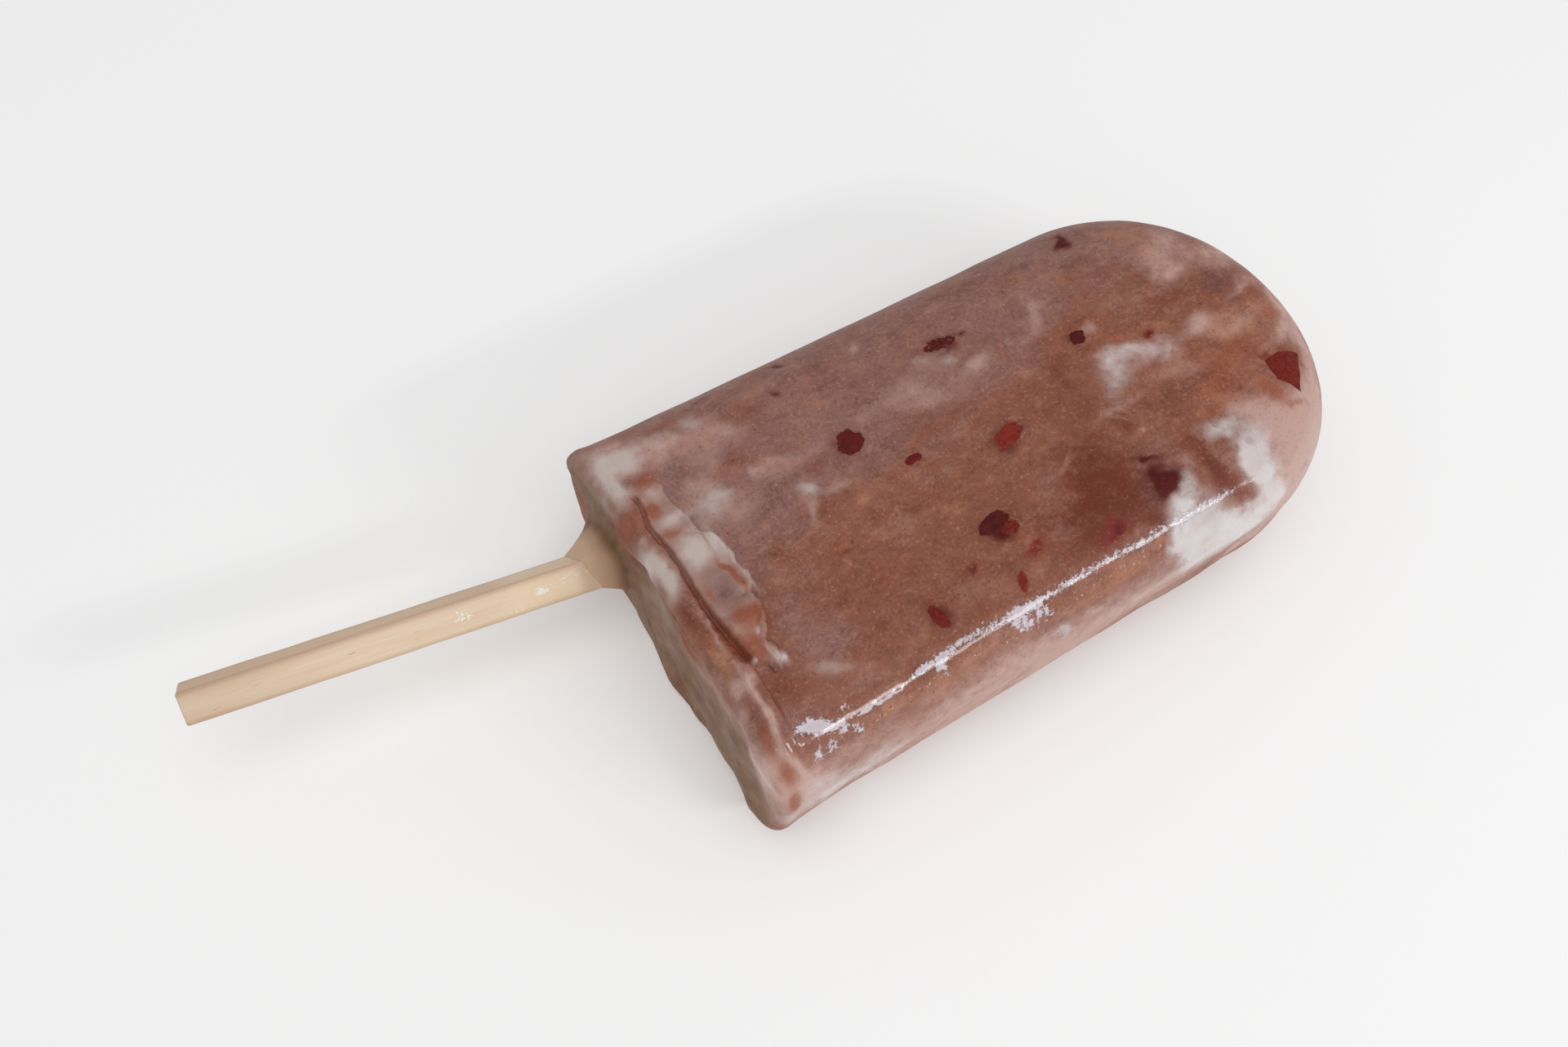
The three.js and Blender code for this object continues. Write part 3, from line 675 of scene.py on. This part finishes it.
# On the open face: y, z, half width, half height, strength and, where it is turned, the degrees.
faceStains = {
    "milk": [
        (14, 20.5, 5, 2.4, 0.4), (4.4, 21, 3, 2.2, 0.8, 10), (0.5, 17.5, 2, 3, 0.35, 20),
        (-15, 13, 5, 3, 0.2, 10),
    ],
    "pale": [(-12, 18.5, 8, 2.4, 0.6), (-21, 17, 2.6, 4, 0.8), (2, 12, 4, 5, 0.3)],
    "rust": [
        # The patch at (16.9, 13) is painted shade in the hollow between the collar and the face.
        (22.4, 7.6, 2, 2.8, 1.2), (10.3, 21, 2.2, 1.6, 1), (16.9, 13, 2.4, 3, 0.45), (-4, 20, 3, 2, 0.8),
        (-10, 20.4, 4, 1.4, 0.6), (-17, 19.6, 4, 1.2, 0.6, 8), (-23.6, 15, 1.2, 3, 0.5),
        (-6.5, 3.4, 7, 1.1, 0.35, 4), (-17.5, 2.4, 6, 0.9, 0.3), (0.6, 1.6, 3, 1.4, 0.4),
        (-21, 20, 2, 2, 0.4),
    ],
    "mauve": [(-8, 10, 4, 3, 0.35), (-19.5, 8, 3, 2, 0.3), (6.5, 8, 3, 3, 0.3)],
    "brick": [(22.8, 6.8, 2.2, 3.4, 1.5), (8.6, 17.5, 1.6, 2.2, 0.7, 20)],
    "amber": [(21, 19, 3, 3, 0.2), (10.2, 20, 1.8, 1.6, 1, 20), (22.6, 6.8, 1.8, 2.8, 1.3)],
    "wine": [(11.2, 20.4, 1.4, 1.4, 0.5)],
    "cream": [(21.5, 18, 4, 4.5, 0.3), (3, 16, 3, 3, 0.3)],
}


def patchField(points, patches):
    total = np.zeros(len(points))
    for place, axes, reach, strength in patches:
        offset = (points - np.array(place)) @ np.array(axes).T / np.array(reach)
        total += strength * np.exp(-(offset ** 2).sum(1))
    return total


def turned(first, second, degrees):
    cos, sin = cosSin(degrees)
    return first * cos + second * sin, second * cos - first * sin


def depthOf(x, across):
    if x < openX + 5:
        return patchDepth["rim"]
    return patchDepth["top"] if abs(across) < 20 else patchDepth["side"]


def skinPatch(x, across, long, wide, strength, turn=0):
    place, along, onward, outward = onSkin(x, across)
    return place, [*turned(along, onward, turn), outward], (long, wide, depthOf(x, across)), strength


def facePatch(y, z, wide, high, strength, turn=0):
    axes = [*turned(Vector((0, 1, 0)), Vector((0, 0, 1)), turn), Vector((1, 0, 0))]
    return Vector((openX, y, z)), axes, (wide, high, patchDepth["face"]), strength


# The back and the far side have marbling of the same kinds, strewn by a seeded draw.
unseen = {
    "seed": 12,
    "x": (-44, 36), "across": (31, 99), "girth": 130.2,  # across runs from the far side over the back
    "count": {
        "rose": 8, "tan": 16, "mauve": 14, "rust": 26, "brick": 18, "pale": 34, "milk": 18, "cream": 6,
        "amber": 6, "wine": 6, "berry": 9,
    },
}


def unseenPatches(kind, draw):
    for i in range(unseen["count"].get(kind, 0)):
        across = draw.uniform(*unseen["across"])
        across -= unseen["girth"] if across > unseen["girth"] / 2 else 0
        size = draw.uniform(0.6, 1.2) if kind == "berry" else draw.uniform(1.6, 5)
        slim = draw.uniform(0.35, 0.75)
        x, turn, strength = draw.uniform(*unseen["x"]), draw.uniform(-30, 30), draw.uniform(0.5, 1.1)
        yield x, across, size, size * slim, strength, turn


def fruitHalos():  # juice that has run into the ice round each bit
    for x, y, long, wide, turn, red in [*fruit["bits"], fruit["ribbed"]]:
        yield x, y, long / 2 + fruit["halo"], wide / 2 + fruit["halo"], 0.8 * min(1, long * wide / 6), turn


def paintFields(bm):
    draw = random.Random(unseen["seed"])
    warped = []
    for vert in bm.verts:
        coarse = noise.noise_vector(Vector((vert.co.x / 2, vert.co.y, vert.co.z)) / 3.2)
        fine = noise.noise_vector(vert.co / 1.1 + Vector((9, 9, 9)))
        free = 0.35 + 0.65 * ease(vert.co.x, -41, -36)
        warped.append(vert.co + (coarse * 1.3 + fine * 0.5) * free)
    points = np.array(warped)
    for name, rows in marbling.items():
        halos = fruitHalos() if name == "berry" else []
        patches = [skinPatch(*row) for row in [*rows, *unseenPatches(name, draw), *halos]]
        patches += [facePatch(*row) for row in faceStains.get(name, [])]
        values = patchField(points, patches)
        layer = bm.verts.layers.float.new(name)
        for vert, value in zip(bm.verts, values):
            vert[layer] = value
    for name, (line, wide) in frostAndHighlightLine.items():
        layer = bm.verts.layers.float.new(name)
        start, end = line[0][0], line[-1][0]
        for vert, point in zip(bm.verts, warped):
            turn = (-trace(line, vert.co.x) - bar["openWidth"] / 2 + bar["edgeRadius"]) / bar["edgeRadius"]
            y = -innerWidth(vert.co.x - openX) - bar["edgeRadius"] * math.sin(turn)
            z = bar["thickness"] - bar["edgeRadius"] * (1 - math.cos(turn))
            along = ease(point.x, start, start + 1.5) * (1 - ease(point.x, end - 2, end))
            vert[layer] = bell(math.hypot(vert.co.y - y, vert.co.z - z), wide) * along
    collarLayer = bm.verts.layers.float.new("collar")
    for vert in bm.verts:
        outward = (vert.co - stickEntry).dot(stickOutward)
        beside = (vert.co - stickEntry - stickOutward * outward).length
        near = 1 - ease(beside, 3.2, 6.4)
        vert[collarLayer] = clamp(outward / collar["climb"]) * near if vert.co.x < openX + 1 else 0


iceLook = {
    "base": tint(145, 89, 70), "rose": tint(145, 104, 95), "tan": tint(192, 134, 104),
    "mauve": tint(114, 77, 72), "rust": tint(154, 84, 60), "brick": tint(116, 56, 40),
    "pale": tint(203, 165, 154), "cream": tint(206, 190, 182), "milk": tint(226, 218, 217),
    "amber": tint(160, 94, 72), "wine": tint(128, 42, 40), "berry": tint(84, 11, 9),
    # Among these, the open face's tone is darkened as painted shade, the crust also serves as painted shade
    # at the collar's foot, the furrow's brown is partly painted shade, and the frost white is partly a
    # painted highlight.
    "strip": tint(182, 148, 136), "furrow": tint(140, 66, 44), "face": tint(134, 103, 80),
    "crustAndShade": tint(100, 68, 42), "collar": tint(182, 146, 120), "film": tint(208, 175, 145),
    "frostAndHighlight": tint(242, 232, 240), "shade": tint(100, 50, 36), "glow": tint(198, 138, 110),
    "subsurface": 0.2, "depth": 1.0, "radius": (1.0, 0.6, 0.45),
}


def iceMaterial():
    look = iceLook
    paint = Paint("ice", look, "base")
    flow = paint.stretched((0.75, 1, 1))
    cloud = paint.noise(5, 3, 0.55, flow)
    drift = paint.noise(3.2, 4, 0.6, flow)
    mottle = paint.noise(1.7, 4, 0.6, flow)
    edge = paint.noise(1.4, 5, 0.62)
    grain = paint.noise(0.42, 3, 0.75)
    speck = paint.noise(0.3, 1, 0.5)
    crystal = paint.noise(0.5, 5, 0.8)
    drop = paint.noise(0.5, 2, 0.6)
    curl = paint.noise(2.6, 3, 0.6, flow, 1.6)
    wisp = paint.step(curl, 0.44, 0.49) * paint.step(curl, 0.54, 0.49)  # thin curved lines

    def patch(name, high=1.15, raggedness=1.5):
        return paint.step(paint.field(name) * (1 + (edge - 0.5) * raggedness), 0.02, high)

    skin = 1 - paint.field("face")
    brick = paint.step(paint.field("brick") * (1 + (edge - 0.5) * 1.2 + (drift - 0.5) * 1.4), 0.02, 1.7)
    pale = patch("pale", 1.4)
    milk = patch("milk", 1.4)
    stripMask = paint.field("strip")
    paint.coat("rose", paint.step(paint.field("rose") + (cloud - 0.5) * 2.4, -0.15, 1.15))
    paint.coat("tan", paint.step(paint.field("tan") + (drift - 0.5) * 2, 0.15, 1.2) * 0.7)
    paint.coat("strip", stripMask * (0.6 + (drift - 0.5) * 1.2))
    # The open face's greyish-brown tone, painted darker as painted shade, since the face looks away from the
    # light.
    paint.coat("face", 1 - skin)
    paint.coat("crustAndShade", (1 - skin) * paint.step(cloud * 0.6 + mottle * 0.4, 0.46, 0.64) * 0.3)
    paint.coat("shade", paint.step(drift, 0.5, 0.26) * (1 - stripMask) * 0.25)
    paint.coat("mauve", patch("mauve") * 0.9)
    paint.coat("rust", patch("rust") * 0.95)
    paint.coat("brick", brick)
    quiet = (1 - brick * 0.6) * (1 - stripMask * 0.6)
    paint.coat("shade", paint.step(mottle, 0.5, 0.76) * quiet * 0.4)
    paint.coat("glow", paint.step(mottle, 0.5, 0.25) * quiet * 0.28)
    paint.coat("pale", wisp * paint.step(cloud, 0.4, 0.62) * quiet * skin * 0.17)
    paint.coat("pale", pale)
    cream = patch("cream", 1.4, 1.0)
    paint.coat("cream", cream * 0.9)
    paint.coat("milk", milk * (0.9 + (drift - 0.5) * 0.7))
    paint.coat("amber", patch("amber", 1.3, 1.2) * 0.9)
    paint.coat("wine", patch("wine", 1.2, 0.8) * 0.9)
    berry = patch("berry", 1.0, 0.8)
    paint.coat("berry", berry * 0.96)
    # The furrow's brown, painted stronger where the furrow is deeper: partly its own colour, partly painted
    # shade.
    paint.coat("furrow", paint.field("furrow") * (0.5 + edge * 0.6))
    climb = paint.field("collar")
    # Painted shade in the hollow at the collar's foot, where the ice meets the open face.
    paint.coat("crustAndShade", paint.step(climb, 0.01, 0.1) * 0.45)
    paint.coat("collar", paint.step(climb, 0.06, 0.5))
    paint.coat("film", paint.step(climb, 0.4, 0.95))
    smooth = (1 - milk * 0.8) * (1 - cream * 0.7) * (1 - stripMask * 0.6) * (1 - berry * 0.8)
    smooth = smooth * (1 - brick * 0.6)
    paint.coat("glow", paint.step(grain, 0.54, 0.78) * skin * smooth * 0.9)
    paint.coat("shade", paint.step(grain, 0.46, 0.22) * skin * smooth * (1 - pale * 0.4) * 0.8)
    # White lace painted along the near edge's highlight line, and painted glints of drops below it: partly
    # frost, partly painted highlight.
    lace = paint.field("frostAndHighlight") + paint.field("crystalsAndHighlight") * 0.75
    frostAndHighlight = paint.step(lace + (crystal - 0.5) * 3.6, 0.45, 0.75) * paint.step(lace, 0, 0.12)
    frostAndHighlight = frostAndHighlight + paint.step(paint.field("dropGlints") * 0.5 + drop, 1.1, 1.2) * (1 - frostAndHighlight) * 0.6
    paint.coat("frostAndHighlight", frostAndHighlight * 0.8)

    wet = paint.step(paint.field("wet"), 0.1, 0.7)
    icy = paint.field("crystalsAndHighlight") + paint.field("frostAndHighlight")
    height = (speck - 0.5) * (0.02 - wet * 0.01) + (grain - 0.5) * (0.06 - wet * 0.03)
    height = height + (crystal - 0.5) * icy * 0.18 + frostAndHighlight * 0.03
    return paint.set({
        "Base Color": paint.colour,
        "Roughness": 0.46 - wet * 0.26 + grain * 0.06,
        "IOR": 1.35,
        "Specular IOR Level": 0.22,
        "Coat Weight": wet * 0.5 * (1 - paint.field("crystalsAndHighlight") * 0.5),
        "Coat Roughness": 0.07,
        "Normal": paint.bump(height),
        "Subsurface Weight": look["subsurface"],
        "Subsurface Scale": look["depth"] * metre,
        "Subsurface Radius": look["radius"],
    })


fruitLook = {
    "dark": tint(76, 15, 12), "red": tint(112, 26, 20),
    "bright": tint(166, 62, 44), "bloom": tint(140, 84, 72),
}


def fruitMaterial():
    paint = Paint("fruit", fruitLook, "dark")
    lump = paint.noise(1.2, 3, 0.6)
    fleck = paint.noise(0.4, 3, 0.65)
    red = paint.field("red")
    paint.coat("red", paint.step(lump * 0.8 + red, 0.35, 0.95))
    paint.coat("bright", paint.step(fleck * 0.8 + red, 0.75, 1.5))
    paint.coat("dark", paint.step(fleck, 0.5, 0.3) * 0.5)
    paint.coat("bloom", paint.step(paint.field("rim") + (fleck - 0.5) * 0.8, 0.86, 1.3) * 0.7)
    return paint.set({
        "Base Color": paint.colour,
        "Roughness": 0.42 + fleck * 0.15,
        "IOR": 1.35,
        "Specular IOR Level": 0.3,
        "Normal": paint.bump(fleck * 0.06),
        "Subsurface Weight": 0.15,
        "Subsurface Scale": 0.8 * metre,
        "Subsurface Radius": (1.0, 0.3, 0.2),
    })


# Of these, the wet colour is partly painted light near the ice, the far side's colour is painted shade and
# the glint white is a painted highlight.
woodLook = {
    "pale": tint(241, 215, 188), "deep": tint(224, 192, 160), "wet": tint(250, 224, 188),
    "edge": tint(190, 156, 126), "fleck": tint(170, 126, 92), "chalk": tint(240, 226, 208),
    "sideShade": tint(206, 164, 132), "glint": tint(255, 252, 246), "iced": tint(214, 184, 154),
}


def woodMaterial():
    paint = Paint("wood", woodLook, "pale")
    place = [value * metre for value in stickEntry]
    local = paint.stretched((1, 1, 1), place, tuple(stickTurn), "TEXTURE")

    def along(stretch):
        return paint.node("ShaderNodeMapping", {}, {"Vector": local, "Scale": (1 / stretch, 1, 1)})

    band = paint.noise(1.6, 3, 0.5, along(14))
    fibre = paint.noise(0.22, 3, 0.6, along(30))
    pore = paint.noise(0.3, 1, 0.5, along(7))
    blotch = paint.noise(3, 3, 0.6)
    wet = paint.step(paint.field("damp") + (blotch - 0.5) * 0.5, 0.3, 0.75)
    bead = paint.noise(0.36, 4, 0.65)
    paint.coat("deep", paint.step(band, 0.4, 0.68) * 0.35)
    paint.coat("deep", paint.step(fibre, 0.5, 0.8) * 0.6)
    paint.coat("chalk", paint.step(fibre, 0.45, 0.25) * 0.5)
    paint.coat("fleck", paint.step(pore, 0.72, 0.8) * 0.5)
    # The damp end by the ice is yellower and lighter: partly wet wood, partly painted light against the bar's
    # shade.
    paint.coat("wet", wet * 0.6)
    paint.coat("edge", paint.field("edge") * 0.5)
    # The stick's far side is painted darker as painted shade, mottled by the grain.
    paint.coat("sideShade", paint.field("sideShade") * (0.16 + fibre * 0.5))
    paint.coat("iced", paint.field("iced") * 0.9)
    paint.coat("glint", paint.step(bead + paint.field("glintSpots") * 0.25, 0.7, 0.82) * 0.85)
    return paint.set({
        "Base Color": paint.colour,
        "Roughness": 0.62 - wet * 0.35 + fibre * 0.1,
        "Normal": paint.bump(fibre * 0.06 - pore * 0.03, 0.7),
        "IOR": 1.45,
    })


# Lumps of fruit that stand a little proud of the skin.
fruit = {
    "proud": 0.16, "depth": 1.0, "uneven": 0.3, "halo": 0.4,
    # x, y, length, width, turn in degrees, redness
    "bits": [
        (-17.7, 6.7, 3.6, 3.2, 20, 0.25), (-0.8, -2, 4.6, 2.6, 22, 0.62),
        (-9.2, -10.7, 4.4, 2.3, 8, 0.12), (-7.9, -12, 2.2, 1.8, 0, 0.5), (15, 5.3, 2.3, 2, 20, 0.1),
        (-21.3, -17, 1.7, 3.2, 15, 0.45), (-12.5, 1, 2.4, 1.3, 5, 0.38),
        (-10.5, -18.2, 1.1, 2.4, -25, 0.6),
    ],
    "ribbed": (-0.6, 13, 4.6, 1.9, -8, 0.3),
    "ribs": 5,
    "slab": [(33.1, -9.3), (38.8, -10.0), (34.9, -14.8), (32.8, -12.1)], "bulge": 0.8,  # its corners
    "slabRed": 0.5,
}


def skinHeight(x, y):  # of the top, round the long edges and the tip
    half = mix(bar["openWidth"], bar["tipWidth"], clamp((x - openX) / (tipX - openX))) / 2
    edge = half - abs(y)
    if x > tipX:
        power = bar["tipPower"]
        out = ((x - tipX) / bar["tipLength"]) ** power + (abs(y) / half) ** power
        edge = (1 - out ** (1 / power)) * half
    inside = clamp(bar["edgeRadius"] - edge, 0, bar["edgeRadius"])
    return bar["thickness"] - bar["edgeRadius"] + math.sqrt(bar["edgeRadius"] ** 2 - inside ** 2)


def addBit(bm, x, y, long, wide, turn, red, ribs=0):
    rimLayer, redLayer = bm.verts.layers.float["rim"], bm.verts.layers.float["red"]
    made = bmesh.ops.create_icosphere(bm, subdivisions=5, radius=1)
    cos, sin = cosSin(turn)
    for vert in made["verts"]:
        unit = vert.co.copy()
        flat = Vector((unit.x, unit.y, 0))
        wobble = 1 + fruit["uneven"] * noise.noise(flat * 1.5 + Vector((x, y, 0)))
        wobble += 0.1 * noise.noise(flat * 4 + Vector((y, x, 0)))
        a, b = unit.x * wobble * long / 2, unit.y * wobble * wide / 2
        groove = 0.5 - 0.5 * math.cos((unit.x + 0.25 * unit.y) * math.pi * ribs)
        place = Vector((x + a * cos - b * sin, y + a * sin + b * cos, 0))
        rise = fruit["proud"] * unit.z + 0.12 * noise.noise(unit * 2.4 + Vector((y, x, 5))) * unit.z
        rise -= 0.12 * groove * unit.z
        place.z = skinHeight(place.x, place.y) - 0.03 + (rise if unit.z > 0 else fruit["depth"] * unit.z)
        vert[rimLayer] = flat.length
        vert[redLayer] = red - 0.5 * groove
        vert.co = place


def addSlab(bm):
    rimLayer, redLayer = bm.verts.layers.float["rim"], bm.verts.layers.float["red"]
    corners = [Vector((x, y, 0)) for x, y in fruit["slab"]]
    made = bmesh.ops.create_grid(bm, x_segments=24, y_segments=24, size=1)
    for vert in made["verts"]:
        across, along = (vert.co.x + 1) / 2, (vert.co.y + 1) / 2
        out = max(abs(vert.co.x), abs(vert.co.y))
        place = corners[3].lerp(corners[2], across).lerp(corners[0].lerp(corners[1], across), along)
        place.y += fruit["bulge"] * math.sin(math.pi * across) * along
        place += noise.noise_vector(place / 1.6) * 0.3
        rise = 0.1 * (1 - ease(out, 0.9, 1)) - 0.35 * ease(out, 0.92, 1)
        place.z = skinHeight(place.x, place.y) + rise + 0.03 * noise.noise(place / 1.1)
        vert[rimLayer] = 0.98 * ease(out, 0.8, 1)
        vert[redLayer] = fruit["slabRed"]
        vert.co = place
    outline = [edge for edge in bm.edges if edge.is_boundary]
    walls = bmesh.ops.extrude_edge_only(bm, edges=outline)["geom"]
    lower = [item for item in walls if isinstance(item, bmesh.types.BMVert)]
    bmesh.ops.translate(bm, vec=(0, 0, -fruit["depth"]), verts=lower)
    bmesh.ops.contextual_create(bm, geom=[edge for edge in bm.edges if edge.is_boundary])


def makeIce():
    bm = makeSkin()
    addTail(bm)
    paintFields(bm)
    piece = finish(bm, "iceBar", iceMaterial())
    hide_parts("ice_bar")


def makeFruit():
    bm = bmesh.new()
    bm.verts.layers.float.new("rim")
    bm.verts.layers.float.new("red")
    for bit in fruit["bits"]:
        addBit(bm, *bit)
    addBit(bm, *fruit["ribbed"], ribs=fruit["ribs"])
    addSlab(bm)
    finish(bm, "fruitBits", fruitMaterial())


def makeStick():
    bm = bmesh.new()
    bmesh.ops.create_cube(bm, size=1)
    size = Vector((stick["length"], stick["side"], stick["side"]))
    bmesh.ops.scale(bm, vec=size, verts=bm.verts)
    bmesh.ops.bevel(
        bm, geom=bm.edges[:], offset=stick["edge"], segments=3, profile=0.5, affect="EDGES", material=-1)
    bmesh.ops.translate(bm, vec=(stick["length"] / 2 - stick["shown"], 0, 0), verts=bm.verts)
    places = [*range(1 - stick["shown"], stick["length"] - stick["shown"])]
    places += [x + 0.5 for x in range(-22, -2)]  # closer together where it is wet
    cuts = [(Vector((x, 0, 0)), Vector((1, 0, 0))) for x in places]
    for axis in (Vector((0, 1, 0)), Vector((0, 0, 1))):
        cuts += [(axis * at, axis) for at in stick["cuts"]]
    for place, axis in cuts:
        geometry = bm.verts[:] + bm.edges[:] + bm.faces[:]
        bmesh.ops.bisect_plane(bm, geom=geometry, plane_co=place, plane_no=axis, dist=0.001)
    edge, damp, sideShade, iced, glintSpots = [
        bm.verts.layers.float.new(name) for name in ("edge", "damp", "sideShade", "iced", "glintSpots")]
    half = stick["side"] / 2
    darkX, darkLong, darkness = stick["darkLine"]
    for vert in bm.verts:
        x, y, z = vert.co
        vert[edge] = 1 - ease(max(half - abs(y), half - abs(z)), 0.1, 0.9) + 0.6 * ease(-x, 30, 50)
        # Towards the ice the wood is wet, and painted lighter there as painted light too.
        vert[damp] = ease(x, -24, -6)
        vert[iced] = ease(x, -6.4, -4.6)
        vert[glintSpots] = sum(
            strength * bell(x - spotX, long) * bell(y - spotY, wide)
            for spotX, spotY, long, wide, strength in stick["glintSpots"]) * ease(z, 0, half)
        farLower = ease(-z, half - 0.8, half) * ease(y, half - 0.4, half)
        vert[edge] += darkness * bell(x - darkX, darkLong) * farLower
        # Painted shade on the stick's far side.
        vert[sideShade] = ease(y, half - 0.3, half - 0.04)
        wave = noise.noise(Vector((x / 6, y / 0.5, z / 0.5)))
        inset = stick["fibre"] * (wave - 0.6)
        vert.co += Vector((0, y, z)).normalized() * inset
    bmesh.ops.transform(bm, matrix=stickPose, verts=bm.verts)
    piece = finish(bm, "stickWood", woodMaterial())
    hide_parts("stick")


makeIce()
makeFruit()
makeStick()


studio = {
    "floor": 3.0, "floorTint": tint(240, 239, 238), "floorGlow": 0.2,
    "sky": (0.96, 0.98, 1, 1), "skyStrength": 0.5,
    # place, the point it faces, width and height in metres, watts
    "lights": {
        "edgeLight": ((0.245, -0.484, 0.318), (0.245, 0, 0), (0.29, 0.05), 0.75),
        "topLight": ((-0.15, -0.2, 1.0), (0, 0, 0), (1, 1), 3.55),
    },
}


def makeFloor():
    bm = bmesh.new()
    bmesh.ops.create_grid(bm, x_segments=1, y_segments=1, size=studio["floor"] / 2)
    paper = Paint("floorPaper").set({
        "Base Color": studio["floorTint"], "Roughness": 0.9,
        "Emission Color": studio["floorTint"], "Emission Strength": studio["floorGlow"],
    })
    floor = addMesh(bm, "floor", paper)


def makeLights():
    world = bpy.data.worlds.new("studio")
    world.use_nodes = True
    sky = world.node_tree.nodes["Background"]
    sky.inputs["Color"].default_value = studio["sky"]
    sky.inputs["Strength"].default_value = studio["skyStrength"]
    bpy.context.scene.world = world
    for name, (place, aim, size, watts) in studio["lights"].items():
        lamp = bpy.data.lights.new(name, "AREA")
        lamp.shape = "RECTANGLE"
        lamp.size, lamp.size_y = size
        lamp.energy = watts
        light = addObject(name, lamp)
        outward = (Vector(place) - Vector(aim)).normalized()
        upward = outward.cross(Vector((1, 0, 0))).normalized()
        turn = Matrix((upward.cross(outward), upward, outward)).transposed()
        light.matrix_world = Matrix.Translation(place) @ turn.to_4x4()


view = {
    "place": (-0.07118, -0.05408, 0.15436), "right": (0.8515, -0.5222, 0.0466), "up": (0.445, 0.7669, 0.4624),
    "lens": 30.16, "sensor": 36, "nearest": 0.005,
}


def makeCamera():
    lens = bpy.data.cameras.new("camera")
    lens.lens = view["lens"]
    lens.sensor_width = view["sensor"]
    lens.clip_start = view["nearest"]
    camera = addObject("camera", lens)
    right, up = Vector(view["right"]).normalized(), Vector(view["up"]).normalized()
    turn = Matrix((right, up, right.cross(up))).transposed()
    camera.matrix_world = Matrix.Translation(view["place"]) @ turn.to_4x4()
    bpy.context.scene.camera = camera


makeFloor()
makeLights()
makeCamera()
bpy.context.scene.view_settings.view_transform = "Standard"
print("stage, lights and camera set")
